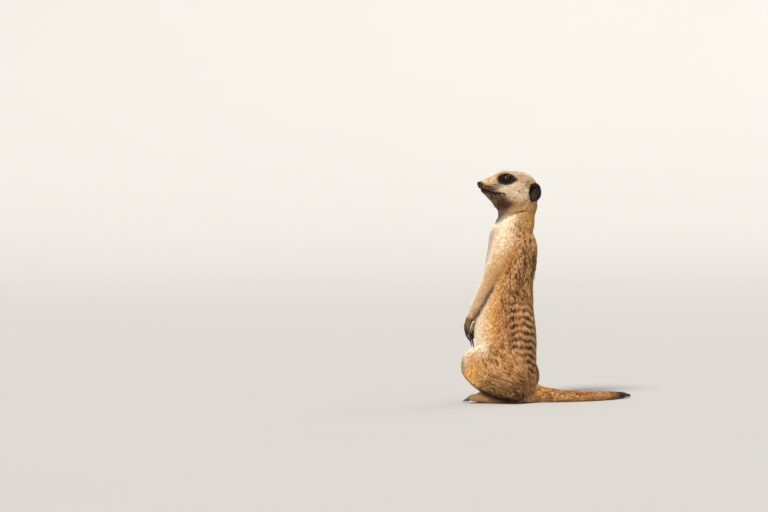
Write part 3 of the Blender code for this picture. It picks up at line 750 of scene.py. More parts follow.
def shape_lids(points, sign, lid):
    """Draws the skin over an eyeball and opens it in an almond; returns the lids' rims and their skin."""
    centre = np.array([EYE_AHEAD, EYE_BESIDE * sign, EYE_ABOVE])
    gaze = unit(np.array([0.36, 0.93 * sign, 0.02]))
    forward = np.array([1.0, 0, 0.06])
    along = unit(forward - gaze * (forward @ gaze))
    arm = in_head(points) - centre
    reach = np.linalg.norm(arm, axis=1)
    near = (reach < LID_REACH) & (arm @ gaze > -0.5)
    x, y = arm @ along / EYE_RADIUS, arm @ np.cross(gaze, along) / EYE_RADIUS
    tall = LID_GAP * np.sqrt(np.clip(1 - (x / LID_CORNER) ** 2, 0, 1)) ** 1.2
    edge = np.where(np.abs(x) < LID_CORNER, np.abs(y) - tall, np.hypot(np.abs(x) - LID_CORNER, y))
    outer = np.maximum(reach, EYE_RADIUS + lid * (1 + 0.6 * ramp(edge, 0.35, 0.0)))
    inner = np.minimum(reach, EYE_RADIUS - 0.8)
    wanted = inner + (outer - inner) * ramp(edge, -0.09, 0.05)
    moved = arm * (wanted / np.maximum(reach, 1e-6))[:, None] + centre
    points[near] = out_of_head(moved[near])
    return np.where(near, ramp(edge, 0.2, 0.1), 0), np.where(near, ramp(edge, 0.8, 0.3), 0)


def fold_skin(points, normals, head):
    """Cuts the mouth and the fold under the jaw, sinks the nose's bed and swells the whisker pads."""
    ahead, above = seen_beside(head)
    beside = np.abs(head[:, 1])
    mouth, fold = off_line(ahead, above, MOUTH_LINE), off_line(ahead, above, JAW_FOLD)
    depth = MOUTH_DEPTH * bulge(mouth, 0, 0.8) - LIP_HEIGHT * bulge(mouth, 2.1, 1.0)
    depth *= ramp(ahead, 12, 16) * ramp(above, -14, -9)
    depth += JAW_FOLD_DEPTH * bulge(fold, 0, 2.0) * ramp(ahead, -16, -4) * (0.25 + 0.75 * ramp(beside, 5, 13))
    rows = np.cos(2 * math.pi * (above - 0.25 * ahead) / WHISKER_ROW)
    depth += (0.22 * rows - PAD_HEIGHT) * face_mark(head, "whisker_pad") * ramp(beside, 4, 7)
    depth += NOSE_BED * on_pad(head) - 0.35 * on_pad(head, 1.2) * (1 - on_pad(head, 0.3))
    points -= normals * (depth * MM)[:, None]
    return mouth, fold


def shape_ears(points, normals, head):
    """Raises the rim of each ear, hollows the bowl and leaves a fold across it.

    Returns how far out in the ear each place lies, 1 at its edge, and how high on the fold.
    """
    ahead, above = seen_beside(head)
    front, top = (ahead - EAR_SPOT[0]) / EAR_SIZE[0], (above - EAR_SPOT[1]) / EAR_SIZE[1]
    reach = np.where(np.abs(head[:, 1]) > 14, np.hypot(front, top), 9.0)
    bowl_reach = np.hypot(front - 0.14, top + 0.06)
    ridge = bulge(front * 0.9 + top * 0.3, -0.02, 0.15) * ramp(bowl_reach, 0.62, 0.42)
    rim = RIM_HEIGHT * (0.45 + 0.55 * ramp(top * 0.5 - front * 0.9, -0.7, 0.5)) * bulge(reach, 0.84, 0.15)
    bowl = BOWL_DEPTH * ramp(bowl_reach, 0.72, 0.42)
    outward = ramp(np.abs(normals @ np.array(LEFTWARD)), 0.2, 0.6)
    points += normals * ((rim - bowl + EAR_FOLD_HEIGHT * ridge) * outward * MM)[:, None]
    return reach, np.where(reach < 1, ridge, 0)


def part_digits(points, normals, names):
    """Draws the grooves between the fingers and between the toes; returns the grooves and the digits."""
    body = in_body(points)
    grooves, digits = np.zeros(len(points)), np.zeros(len(points))
    for side, sign in SIDES.items():
        for part, start, end, spread, gap, first in (
            ("forepaw", WRIST, FINGERS, (0.86, 0.5 * sign, 0), FINGER_STEP, 0.5),
            ("hind_foot", HEEL, TOES, (1, 0, 0), TOE_STEP, 0.92),
        ):
            run = np.subtract(end[side], start[side])
            along = unit(run.astype(float))
            across = unit(np.array(spread) - along * (np.array(spread) @ along))
            arm = body - np.array(start[side])
            beside = (arm @ across + gap / 2) % gap - gap / 2
            reach = arm @ along / np.linalg.norm(run)
            here = names == f"{part}_{side}"
            groove = bulge(beside, 0, GROOVE_WIDTH * gap) * (np.abs(arm @ across) < 1.4 * gap)
            groove = here * groove * ramp(reach, first - 0.1, first + 0.16)
            digits += here * ramp(reach, first, first + 0.3)
            points -= normals * (GROOVE_DEPTH * gap * groove * MM)[:, None]
            grooves += groove
    return grooves, digits


def crease_arms(points, normals, parts, edges):
    """Sinks the skin where the low arm lies on the flank; returns how much."""
    limb = blurred(np.isin(parts, ("upper_arm", "forearm")) * 1.0, edges, 4)
    flank = blurred(np.isin(parts, ("trunk",)) * 1.0, edges, 4)
    crease = 4 * limb * flank * ramp(in_body(points)[:, 2], 147, 134)
    points -= normals * (CREASE_DEPTH * MM * crease)[:, None]
    return crease


def skin_mesh(sizes):
    """One closed mesh round all the flesh, finest round the eyes and at the ends of the digits."""
    skin = joined("skin", [merged_copy(node, sizes.swell) for node in FLESH + ["nose"]])
    remeshed(skin, sizes.voxel)
    divided(skin, np.isin(nearest_flesh(places(skin.data))[1], FINE_PARTS))
    eyes = [np.array(middle(f"eye_{side}")) for side in SIDES]
    to_eyes = np.min([np.linalg.norm(places(skin.data) - eye, axis=1) for eye in eyes], 0)
    divided(skin, to_eyes < FINE_ROUND_EYES * MM)
    body, fine = in_body(places(skin.data)), False
    for ends, near in ((FINGERS, FINE_ROUND_FINGERS), (TOES, FINE_ROUND_TOES)):
        for side in SIDES:
            fine |= np.linalg.norm(body - ends[side], axis=1) < near
    divided(skin, fine)
    return skin


def rounded(points, parts, facing, edges):
    """Smooths the steps of the mesh, rounds nape and throat, pinches the snout and joins haunch and flank."""
    rough = blurred(np.isin(parts, ("trunk", "neck", "thigh", "shank", "upper_arm", "tail")) * 1.0, edges, 10)
    points = blurred(points, edges, 14, (0.12 + 0.5 * rough, -0.12 - 0.5 * rough * 0.9))
    z = in_body(points)[:, 2]
    swell = (2.2 * bulge(z, 213, 8) - 1.4 * bulge(z, 199, 7)) * ramp(facing, 0.2, 0.9)
    throat = np.isin(parts, ("neck", "head", "lower_jaw", "trunk"))
    swell += 2.8 * bulge(z, 229, 8) * ramp(-facing, 0.2, 0.8) * throat
    points[:, 1] += np.sign(facing) * swell * MM
    points = pinched(points)
    haunch = blurred(np.isin(parts, ("thigh", "shank")) * 1.0, edges, 30)
    seam = 4 * haunch * (1 - haunch) * ramp(in_body(points)[:, 2], 30, 52)
    return blurred(points, edges, 90, 0.6 * seam)


def hair_of(at, hair):
    """The hair's length at each vertex: shorter on belly, knees, snout, lids and bars than the part's own."""
    hair = hair * (1 - 0.4 * at.soft.torso * ramp(at.angle, 98, 126))
    hair *= 1 - 0.35 * at.soft.thigh * np.maximum(ramp(at.y, -44, -60), ramp(at.z, 66, 78))
    hair *= 1 - 0.4 * at.soft.face * ramp(at.ahead, 20, 42)
    hair *= 1 - 0.45 * at.grooves - 0.3 * at.soft.foot * ramp(at.y, -44, -54)
    hair *= (1 - 0.5 * at.lash) * (1 - 0.3 * at.crease)
    hair *= 1 - 0.36 * at.soft.torso * ramp(at.angle, 84, 66) * ramp(at.z, 136, 118)
    hair *= 1 + 0.3 * at.soft.face * at.face_marks["ear_tuft"]
    return np.where(at.reach < 0.97, np.minimum(hair, HAIR_LENGTHS["ear"] * MM), hair)


def thinned(at):
    """0 where no tuft grows, on the nose's pad, the lids' rims and the lips, and 1 elsewhere."""
    off_lips = ramp(at.mouth * at.soft.face + 9 * (1 - at.soft.face), 0.2, 0.6)
    return (at.lid_rim <= 0.3) * off_lips * (1 - on_pad(at.head, 0.3))


class MEERKAT_OT_skin(bpy.types.Operator):
    """Makes the one skin that replaces all solids of flesh"""

    bl_idname = "meerkat.skin"
    bl_label = "Skin"

    def execute(self, context):
        sizes, coat = settings("skin"), settings("coat")
        skin = skin_mesh(sizes)
        mesh, edges = skin.data, edges_of(skin.data)
        points = places(mesh)
        names, parts = nearest_flesh(points)
        points = rounded(points, parts, normals_of(mesh)[:, 1], edges)
        set_places(mesh, points)

        lengths = np.array([getattr(coat, part) for part in PARTS])
        part_numbers = np.array([PARTS.index(part) for part in parts])
        hair = blurred(lengths[part_numbers], edges, 24)
        normals = normals_of(mesh)
        points -= normals * (coat_depth(hair) + sizes.swell)[:, None]
        head = in_head(points)
        at = SimpleNamespace(names=names)
        at.mouth, at.fold = fold_skin(points, normals, head)
        at.reach, at.ridge = shape_ears(points, normals, head)
        at.grooves, at.digits = part_digits(points, normals, names)
        at.crease = crease_arms(points, normals, parts, edges)
        rims, lashes = zip(*(shape_lids(points, sign, sizes.lid / MM) for sign in SIDES.values()))
        at.lid_rim, at.lash = np.maximum(*rims), np.maximum(*lashes)
        points = blurred(points, edges, 4, 0.45 * at.lash)
        points[:, 2] = np.maximum(points[:, 2], SKIN_OFF_FLOOR)
        set_places(mesh, points)
        smooth_shaded(skin)

        at.normals, at.body, at.head = normals_of(mesh), in_body(points), in_head(points)
        at.angle, at.soft = round_trunk(at.body), region_shares(parts, edges)
        marks, tints = markings(at)
        kept = {
            "marks": marks, "tints": tints, "lie": lie_of_coat(at, edges), "hair": hair_of(at, hair),
            "thin": thinned(at), "angle": at.angle, "part": part_numbers * 1.0,
        }  # fmt: skip
        for name, values in kept.items():
            store(mesh, name, values)
        dressed(skin, skin_finish(), "tan_fur", *FLESH)
        return {"FINISHED"}


# -------------------------------------------------------------------------------- the coat

COVER = 0.72  # how many tuft widths of hair grow for each millimetre of skin
TUFT_PROFILE = (0.85, 1.0, 0.7)  # a tuft's width at each of its rings
TUFT_OFF_FLOOR, TIP_OFF_FLOOR = 0.0002, 0.0004
STRAYS = 0.03  # how many of the tufts stand off the coat
SWAY = 9  # how far tufts turn off the lie of the fur, in degrees
LOCK_SHAPE = 0.2  # how wide a lock is for its length
LOCKS_IN_CLUMP = 4
SHORT = 4 * MM  # hair shorter than this keeps the markings of its root up to its tip
PATCH = 0.003  # how wide a tuft's patch is on the map


def coat_depth(hair):
    """How deep the coat is where the hair has this length, in metres."""
    return np.maximum(0.24 * hair - 0.3 * MM, 0.12 * MM) * settings("coat").depth


def tuft_width(hair):
    return (0.2 * MM + 0.034 * hair) * settings("coat").width


def strand_faces(rings):
    """The triangles of one strand with three-sided rings and a tip."""
    pairs = ((0, 1), (1, 2), (2, 0))
    faces = [(0, 2, 1)]
    for a in range(0, 3 * (rings - 1), 3):
        for p, q in pairs:
            faces += [(a + p, a + q, a + 3 + q), (a + p, a + 3 + q, a + 3 + p)]
    last = 3 * (rings - 1)
    return np.array(faces + [(last + p, last + q, last + 3) for p, q in pairs])


def strand_mesh(name, line, across, up, widths, plump=0.34):
    """A mesh of closed strands. line is (strands, rings + 1, 3) and ends at the tips; widths are per ring."""
    count, steps = line.shape[:2]
    half, rings = widths[..., None] / 2, line[:, :-1]
    across, up = across[:, None], up[:, None]
    sides = np.stack([rings - across * half, rings + across * half, rings + up * half * 2 * plump], 2)
    points = np.concatenate([sides.reshape(count, -1, 3), line[:, -1:]], 1)
    points[..., 2] = np.maximum(points[..., 2], TUFT_OFF_FLOOR)
    faces = (np.arange(count) * points.shape[1])[:, None, None] + strand_faces(steps - 1)
    return triangle_mesh(name, points.reshape(-1, 3), faces.reshape(-1, 3))


def flat_map(points, triangles):
    """An unwrap of these triangles by their own shape: a place on the map for each of their corners."""
    piece = new_object("map", triangle_mesh("map", points, triangles))
    only(piece)
    piece.data.uv_layers.new(name="flat")
    bpy.ops.object.mode_set(mode="EDIT")
    bpy.ops.mesh.select_all(action="SELECT")
    bpy.ops.uv.smart_project(angle_limit=math.radians(70), island_margin=0.003)
    bpy.ops.object.mode_set(mode="OBJECT")
    found = numbers(piece.data.uv_layers[0].uv, "vector", 2).reshape(-1, 3, 2)
    bpy.data.meshes.remove(piece.data)
    low, high = found.min((0, 1)), found.max((0, 1))
    return 0.01 + 0.98 * (found - low) / (high - low)


def patches(roots, rings):
    """Each strand's own small patch of the map, at its root's place."""
    u = np.array([[-0.5, 0.5, 0.0]] * rings) * np.linspace(1, 0.6, rings)[:, None]
    v = np.repeat(np.linspace(-0.5, 0.4, rings)[:, None], 3, 1)
    v[0, 2] -= 0.25
    shape = np.concatenate([np.stack([u, v], 2).reshape(-1, 2), [[0, 0.5]]])
    return roots[:, None] + shape[None] * PATCH


def read_skin():
    """The finished skin: its surface, with a tree to find the nearest place on it, and all that it keeps."""
    mesh = bpy.data.objects["skin"].data
    mesh.calc_loop_triangles()
    kept = {name: stored(mesh, name) for name in ("marks", "tints", "lie", "hair", "thin", "angle", "part")}
    skin = SimpleNamespace(points=places(mesh), normals=normals_of(mesh), **kept)
    skin.part = np.array(PARTS)[skin.part.astype(int)]
    skin.height = in_body(skin.points)[:, 2]
    skin.triangles = numbers(mesh.loop_triangles, "vertices", 3, np.int32)
    skin.tree = BVHTree.FromPolygons(skin.points.tolist(), skin.triangles.tolist())
    return skin


def at_roots(values, tufts):
    """Values told for each vertex of the skin, at the tufts' roots."""
    return (values[tufts.corners].reshape(len(tufts.corners), 3, -1) * tufts.weights).sum(1)


def sown(skin, mine, rng):
    """Tufts spread over these triangles of the skin, each with a root, a length and the way it grows."""
    corners = skin.points[mine]
    area = np.linalg.norm(np.cross(corners[:, 1] - corners[:, 0], corners[:, 2] - corners[:, 0]), axis=1) / 2
    width = tuft_width(skin.hair[mine].mean(1))
    amount = settings("coat").number * COVER * MM / width / MM**2 * skin.thin[mine].min(1)
    count = np.floor(area * amount + rng.random(len(area))).astype(int)
    tufts = SimpleNamespace(area=area.sum(), total=count.sum())
    tufts.triangle = np.repeat(np.arange(len(mine)), count)
    tufts.corners = mine[tufts.triangle]
    tufts.weights = rng.dirichlet((1, 1, 1), tufts.total)[..., None]
    tufts.root, tufts.up = at_roots(skin.points, tufts), unit(at_roots(skin.normals, tufts))
    tufts.long = at_roots(skin.hair, tufts)[:, 0] * rng.uniform(0.75, 1.25, tufts.total)
    way = at_roots(skin.lie, tufts)
    sway = np.radians(rng.normal(0, SWAY, tufts.total))[:, None]
    tufts.way = unit(way * np.cos(sway) + np.cross(tufts.up, way) * np.sin(sway))
    return tufts


def gathered(spots, ways, leaders):
    """Which leader, chosen from the spots themselves, each spot goes with, and how far off it is.

    A leader counts as nearer when it lies lengthwise, along the lie of the hair, than when it lies beside.
    """
    near = tree_of(spots[leaders])
    close = min(8, len(leaders))
    nearby = np.array([[index for _, index, _ in near.find_n(spot, close)] for spot in spots.tolist()])
    gap = spots[:, None] - spots[leaders][nearby]
    lengthwise = (gap * ways[:, None]).sum(2)
    apart = np.sqrt((gap**2).sum(2) - (1 - LOCK_SHAPE**2) * lengthwise**2)
    return nearby[np.arange(len(spots)), apart.argmin(1)], apart.min(1)


def lean_into_locks(tufts, skin, rng):
    """Leans the tufts towards the leaders of their locks, and finds the clump that each lock is in."""
    full = tufts.way * tufts.long[:, None]
    tufts.halfway, tufts.tip = tufts.root + full * 0.5, tufts.root + full
    spacing = 0.5 * MM + 0.21 * tufts.long.mean()
    leaders = rng.choice(tufts.total, max(1, int(tufts.area / spacing**2)), replace=False)
    tufts.lock, off = gathered(tufts.root, tufts.way, leaders)
    tufts.off = np.clip(off * 1.6 / spacing, 0, 1)
    heads = rng.choice(len(leaders), max(1, len(leaders) // LOCKS_IN_CLUMP), replace=False)
    tufts.clump = gathered(tufts.root[leaders], tufts.way[leaders], heads)[0]
    tufts.counts = len(leaders), len(heads)
    pull = settings("coat").lock * rng.uniform(0.6, 1.2, tufts.total)
    pull *= np.clip(tufts.long / (8 * MM), 0.35, 1.0) * (1 - 0.5 * at_roots(skin.marks, tufts)[:, 0])
    pull = pull[:, None]
    tufts.halfway += (tufts.halfway[leaders][tufts.lock] - tufts.halfway) * pull * 0.35
    tufts.tip += (tufts.tip[leaders][tufts.lock] - tufts.tip) * pull


def on_skin(skin, spots, height):
    """These places brought to this height over the skin, and the skin's vertex under each."""
    hits = [skin.tree.find_nearest(spot) for spot in spots.tolist()]
    lifted = np.array([hit[0] for hit in hits]) + np.array([hit[1] for hit in hits]) * height[:, None]
    return lifted, skin.triangles[[hit[2] for hit in hits], 0]


def lay(tufts, skin, rings, rng):
    """Lays the tufts along the skin; returns the line of each from its root to its tip."""
    depth = coat_depth(tufts.long)
    stray = np.where(rng.random(tufts.total) < STRAYS, rng.uniform(1.1, 1.7, tufts.total), 1.0)
    lifts = rng.uniform(0.7, 1.15, tufts.total) * stray
    halfway, tufts.under_half = on_skin(skin, tufts.halfway, depth * 0.7 * lifts)
    tip, tufts.under_tip = on_skin(skin, tufts.tip, depth * lifts)
    line = [tufts.root - tufts.up * 0.2 * MM, halfway, tip]
    if rings == 3:
        line.insert(2, (halfway + tip) / 2 + tufts.up * (0.12 * depth)[:, None])
    line = np.stack(line, 1)
    line[..., 2] = np.maximum(line[..., 2], TIP_OFF_FLOOR)
    return line


def grain_of(tufts, rings, rng):
    """For each point of each tuft: how far up it lies, and two numbers, of its lock and of its own."""
    along = np.append(np.repeat(np.linspace(0, 0.8, rings), 3), 1.0)
    # own is lower at a lock's border, which darkens the tone there: painted shade in the gaps between locks.
    own = rng.random(tufts.total) * (1 - 0.6 * tufts.off**2)
    leaders, heads = tufts.counts
    shared = (0.5 * rng.random(leaders) + 0.5 * rng.random(heads)[tufts.clump])[tufts.lock]
    return np.stack(np.broadcast_arrays(along[None], shared[:, None], own[:, None]), 2)


def grow_coat(name, chosen, slot, rings, skin, finish, seed):
    """Grows one piece of the coat from the skin's triangles that chosen takes in."""
    rng = np.random.default_rng(seed)
    first = skin.triangles[:, 0]
    mine = skin.triangles[chosen(skin.part[first], skin.angle[first], skin.height[first])]
    tufts = sown(skin, mine, rng)
    lean_into_locks(tufts, skin, rng)
    line = lay(tufts, skin, rings, rng)
    across = unit(np.cross(tufts.up, line[:, -1] - line[:, 0]))
    widths = (tuft_width(tufts.long) * rng.uniform(0.7, 1.25, tufts.total))[:, None] * TUFT_PROFILE[:rings]
    mesh = strand_mesh(name, line, across, tufts.up, widths)
    store(mesh, "grain", grain_of(tufts, rings, rng).reshape(-1, 3))
    for key, values in (("marks", skin.marks), ("tints", skin.tints)):
        rows = [at_roots(values, tufts)] * 3
        if tufts.long.mean() > SHORT:
            rows[1:] = values[tufts.under_half], values[tufts.under_tip]
        if rings == 3:
            rows.insert(2, (rows[1] + rows[2]) / 2)
        store(mesh, key, np.repeat(np.stack(rows, 1), [3] * rings + [1], 1).reshape(-1, 3))
    roots = (flat_map(skin.points, mine)[tufts.triangle] * tufts.weights).sum(1)
    corners = numbers(mesh.loops, "vertex_index", 1, np.int32)
    corner_places = patches(roots, rings).reshape(-1, 2)[corners]
    mesh.uv_layers.new(name="OFBake").uv.foreach_set("vector", corner_places.astype(np.float32).ravel())
    dressed(new_object(name, mesh), finish, slot)


def stretch(*parts, low=-math.inf, high=math.inf, from_angle=0, to_angle=181):
    """Chooses these parts of the body between two heights and two angles round the trunk."""
    return lambda part, angle, height: (
        np.isin(part, parts) & (height >= low) & (height < high) & (angle >= from_angle) & (angle < to_angle)
    )


FRONT_FROM = 98  # the angle at which the coat of the front begins
CHEST_FROM, BACK_FROM, FACE_FROM = 128, 118, 256  # the heights at which the upper pieces begin

# For each piece: the stretch of the body that it covers, its slot and how many rings its tufts have.
COATS = {
    "coat_crown": (stretch("head", "lower_jaw", low=FACE_FROM), "pale_fur", 2),
    "coat_cheeks": (stretch("head", "lower_jaw", high=FACE_FROM), "pale_fur", 2),
    "coat_ears": (stretch("ear"), "dark_fur", 2),
    "coat_neck": (stretch("neck"), "pale_fur", 2),
    "coat_chest": (stretch("trunk", from_angle=FRONT_FROM, low=CHEST_FROM), "pale_fur", 2),
    "coat_belly": (stretch("trunk", from_angle=FRONT_FROM, high=CHEST_FROM), "pale_fur", 2),
    "coat_upper_back": (stretch("trunk", to_angle=FRONT_FROM, low=BACK_FROM), "tan_fur", 2),
    "coat_lower_back": (stretch("trunk", to_angle=FRONT_FROM, high=BACK_FROM), "tan_fur", 2),
    "coat_arms": (stretch("upper_arm", "forearm", "forepaw"), "tan_fur", 2),
    "coat_haunches": (stretch("thigh"), "tan_fur", 3),
    "coat_legs": (stretch("shank"), "pale_fur", 2),
    "coat_feet": (stretch("hind_foot"), "pale_fur", 2),
    "coat_tail": (stretch("tail"), "rust_fur", 2),
    "coat_tail_tip": (stretch("tail_tip"), "dark_fur", 2),
}


class MEERKAT_OT_coat(bpy.types.Operator):
    """Grows the coat over the skin, a piece for each part of the body"""

    bl_idname = "meerkat.coat"
    bl_label = "Coat"

    def execute(self, context):
        skin, finish = read_skin(), coat_finish()
        for seed, (name, piece) in enumerate(COATS.items(), SEED):
            grow_coat(name, *piece, skin, finish, seed)
        return {"FINISHED"}


# -------------------------------------------------------------------------------- eyes, nose, claws

NOSE_VOXEL = 0.0004
NOSTRIL = ((3.2, 6.4), (1.3, 1.0), -25, 0.35)  # an oval like those of the face, seen from the front
SLIT = ((45.9, 5.9), (2.2, 0.5), 16, 0.4)  # the slit beside the nostril, seen from the side
CLAW_ROOT = 1.8  # how far a claw reaches back into its digit

# Whiskers of the left side: where each one grows, its way, both forward, left and up, and its length.
WHISKERS = [
    ((31 + 3.2 * n, 12, 1.5 + 2.3 * row), (-0.5, 1.0, -0.25 + 0.22 * row), 20 - 2.2 * n)
    for row in range(3)
    for n in range(4)
]
WHISKERS += [((24 - 3 * n, 12, 22), (-0.25 - 0.1 * n, 0.55, 1.0), 11) for n in range(3)]
WHISKERS += [((30 - 6 * n, 4, -12 - 2 * n), (0.1 - 0.2 * n, 0.4, -1.0), 9) for n in range(3)]
WHISKER_RINGS, WHISKER_WIDTH = 5, 0.24


class MEERKAT_OT_eyes(bpy.types.Operator):
    """Makes the eyeballs, each with its cornea, to look ahead and out to its side"""

    bl_idname = "meerkat.eyes"
    bl_label = "Eyes"

    def execute(self, context):
        finish = eye_finish()
        for side, sign in SIDES.items():
            bpy.ops.object.select_all(action="DESELECT")
            bpy.ops.mesh.primitive_uv_sphere_add(segments=48, ring_count=32, radius=1, location=(0, 0, 0))
            eye = context.active_object
            eye.name = eye.data.name = f"eyeball_{side}"
            way = unit(places(eye.data))
            store(eye.data, "gaze", way)
            cornea = ramp(way[:, 2], 0.72, 0.98)
            points = way * ((EYE_RADIUS - 0.15 + 0.45 * cornea) * MM)[:, None]
            gaze = head_way((0.42, 0.9 * sign, 0.03))
            along = (FORWARD - gaze * FORWARD.dot(gaze)).normalized()
            turn = np.array([along, gaze.cross(along), gaze])
            set_places(eye.data, points @ turn + np.array(middle(f"eye_{side}")))
            smooth_shaded(eye)
            dressed(eye, finish, "eye", f"eye_{side}")
        return {"FINISHED"}


class MEERKAT_OT_nose(bpy.types.Operator):
    """Rounds the pad of the nose and opens the nostrils in it"""

    bl_idname = "meerkat.nose"
    bl_label = "Nose"

    def execute(self, context):
        nose = joined("nose_pad", [merged_copy("nose", 0.0005)])
        remeshed(nose, NOSE_VOXEL)
        mesh, edges = nose.data, edges_of(nose.data)
        head = in_head(pinched(blurred(places(mesh), edges, 40, (0.5, -0.42))))
        head[:, 1] *= 1 - 0.4 * (1 - on_pad(head, 0.12))
        ahead, left, above = head.T
        off = 1 - on_pad(head, 0.12)
        pits = np.zeros(len(head))
        for sign in SIDES.values():
            pit = oval(sign * left, above, *NOSTRIL) * ramp(ahead, 45.5, 46.5)
            slit = oval(ahead, above, *SLIT) * ramp(sign * left, 3.2, 4.2)
            pits = largest(pits, pit, 0.8 * slit)
        depth = 0.45 * bulge(left, 0, 0.5) * ramp(above, 8.2, 6.8) + 1.1 * pits + 2.4 * off - 0.3
        points = out_of_head(head) - normals_of(mesh) * (depth * MM)[:, None]
        set_places(mesh, blurred(points, edges, 16, 0.1 + 0.5 * off))
        store(mesh, "pit", pits)
        smooth_shaded(nose)
        dressed(nose, nose_finish(), "nose_skin", "nose")
        return {"FINISHED"}


def lengthen(claw, limb):
    """Draws a claw's base back into its digit, towards the limb it grows from."""
    points = places(claw)
    reach = np.linalg.norm(in_body(points) - limb, axis=1)
    share = (reach - reach.min()) / np.ptp(reach)
    way = unit(points[share > 0.8].mean(0) - points[share < 0.3].mean(0))
    set_places(claw, points - way * (CLAW_ROOT * MM * ramp(share, 0.4, 0.1))[:, None])


class MEERKAT_OT_claws(bpy.types.Operator):
    """Rounds the claws of each foot into one piece"""

    bl_idname = "meerkat.claws"
    bl_label = "Claws"

    def execute(self, context):
        finish = claw_finish()
        for feet, limb in (("front", WRIST), ("hind", HEEL)):
            for side in SIDES:
                nodes = [f"claw_{feet}_{side}_{number}" for number in range(1, 5)]
                pieces = [merged_copy(node) for node in nodes]
                for claw in pieces:
                    lengthen(claw.data, limb[side])
                claws = joined(f"claws_{feet}_{side}", pieces)
                only(claws)
                smooth = claws.modifiers.new("Smooth", "SUBSURF")
                smooth.levels = smooth.render_levels = 2
                bpy.ops.object.modifier_apply(modifier=smooth.name)
                smooth_shaded(claws)
                dressed(claws, finish, "claw", *nodes)
        return {"FINISHED"}


class MEERKAT_OT_whiskers(bpy.types.Operator):
    """Sets whiskers in the muzzle, over the eyes and under the chin"""

    bl_idname = "meerkat.whiskers"
    bl_label = "Whiskers"

    def execute(self, context):
        rng = np.random.default_rng(SEED)
        skin = bpy.data.objects["skin"].data
        tree = BVHTree.FromPolygons(places(skin).tolist(), [tuple(face.vertices) for face in skin.polygons])
        steps = np.linspace(0, 1, WHISKER_RINGS + 1)
        lines, sides, ups = [], [], []
        for sign in SIDES.values():
            mirror = np.array((1, sign, 1))
            for place, way, length in WHISKERS:
                spot, normal, _, _ = tree.find_nearest(out_of_head(place * mirror).tolist())
                way = head_way(way * mirror)
                length *= rng.uniform(0.85, 1.15) * MM
                droop = -0.16 * length * steps**2
                root = np.array(spot - normal * 0.4 * MM)
                lines.append(root + np.outer(steps * length, way) + np.outer(droop, UP))
                sides.append(way.cross(UP).normalized())
                ups.append(sides[-1].cross(way))
        taper = np.broadcast_to(np.linspace(1, 0.35, WHISKER_RINGS), (len(lines), WHISKER_RINGS))
        widths = WHISKER_WIDTH * MM * taper
        mesh = strand_mesh("whiskers", np.array(lines), np.array(sides), np.array(ups), widths, plump=0.8)
        dressed(new_object("whiskers", mesh), whisker_finish(), "claw")
        return {"FINISHED"}


# -------------------------------------------------------------------------------- finishes


class Value:
    """A number that varies over a surface. Sums on it add Math nodes."""

    def __init__(self, paint, socket):
        self.paint, self.socket = paint, socket

    def sum_with(self, operation, first, second):
        return self.paint.add("ShaderNodeMath", {"operation": operation}, [first, second])

    def __add__(self, other):
        return self.sum_with("ADD", self, other)

    __radd__ = __add__

    def __sub__(self, other):
        return self.sum_with("SUBTRACT", self, other)

    def __rsub__(self, other):
        return self.sum_with("SUBTRACT", other, self)

    def __mul__(self, other):
        return self.sum_with("MULTIPLY", self, other)

    __rmul__ = __mul__

    def __truediv__(self, other):
        return self.sum_with("DIVIDE", self, other)

    def __pow__(self, other):
        return self.sum_with("POWER", self, other)


class Paint:
    """Builds one material from nodes."""

    def __init__(self, name):
        self.material = bpy.data.materials.new(name)
        self.material.use_nodes = True
        self.tree = self.material.node_tree
        self.shader = self.tree.nodes["Principled BSDF"]

    def add(self, kind, options=None, inputs=(), output=0):
        """Adds a node with its options, feeds its inputs, by name or in order, and returns one output."""
        node = self.tree.nodes.new(kind)
        for option, value in (options or {}).items():
            setattr(node, option, value)
        for key, value in inputs.items() if isinstance(inputs, dict) else enumerate(inputs):
            self.feed(node.inputs[key], value)
        return Value(self, node.outputs[output])

    def feed(self, socket, value):
        if isinstance(value, Value):
            self.tree.links.new(value.socket, socket)
        elif value is not None:
            is_colour = socket.type == "RGBA" and len(value) == 3
            socket.default_value = (*value, 1) if is_colour else value

    def place(self):
        return self.add("ShaderNodeTexCoord", output="Object")

    def kept(self, name):
        """A vector kept on the mesh."""
        return self.add("ShaderNodeAttribute", {"attribute_name": name}, output="Vector")

    def parts(self, vector):
        split = self.add("ShaderNodeSeparateXYZ", inputs=[vector]).socket.node
        return [Value(self, socket) for socket in split.outputs]

    def noise(self, grain, vector=None, detail=3.0):
        """Noise whose lumps are about grain metres across."""
        inputs = {"Vector": vector or self.place(), "Scale": 1 / grain, "Detail": detail}
        return self.add("ShaderNodeTexNoise", {}, inputs, "Fac")

    def rise(self, value, low, high, least=0.0, most=1.0):
        """least where value is below low, most above high, smooth between."""
        inputs = {"Value": value, "From Min": low, "From Max": high, "To Min": least, "To Max": most}
        return self.add("ShaderNodeMapRange", {"interpolation_type": "SMOOTHSTEP"}, inputs, "Result")

    def mix(self, first, second, share, blend="MIX"):
        """A colour between first and second."""
        node = self.add("ShaderNodeMix", {"data_type": "RGBA", "blend_type": blend}).socket.node
        for index, value in ((0, share), (6, first), (7, second)):
            self.feed(node.inputs[index], value)
        return Value(self, node.outputs[2])

    def bump(self, height, distance, strength=1.0):
        """A normal from a height that goes from 0 to 1 over this distance in metres."""
        inputs = {"Height": height, "Distance": distance, "Strength": strength}
        return self.add("ShaderNodeBump", {}, inputs, "Normal")

    def finish(self, **sockets):
        """Sets the shader's sockets, named with _ for a space, and returns the material."""
        for name, value in sockets.items():
            self.feed(self.shader.inputs[name.replace("_", " ").title().replace("Ior", "IOR")], value)
        return self.material


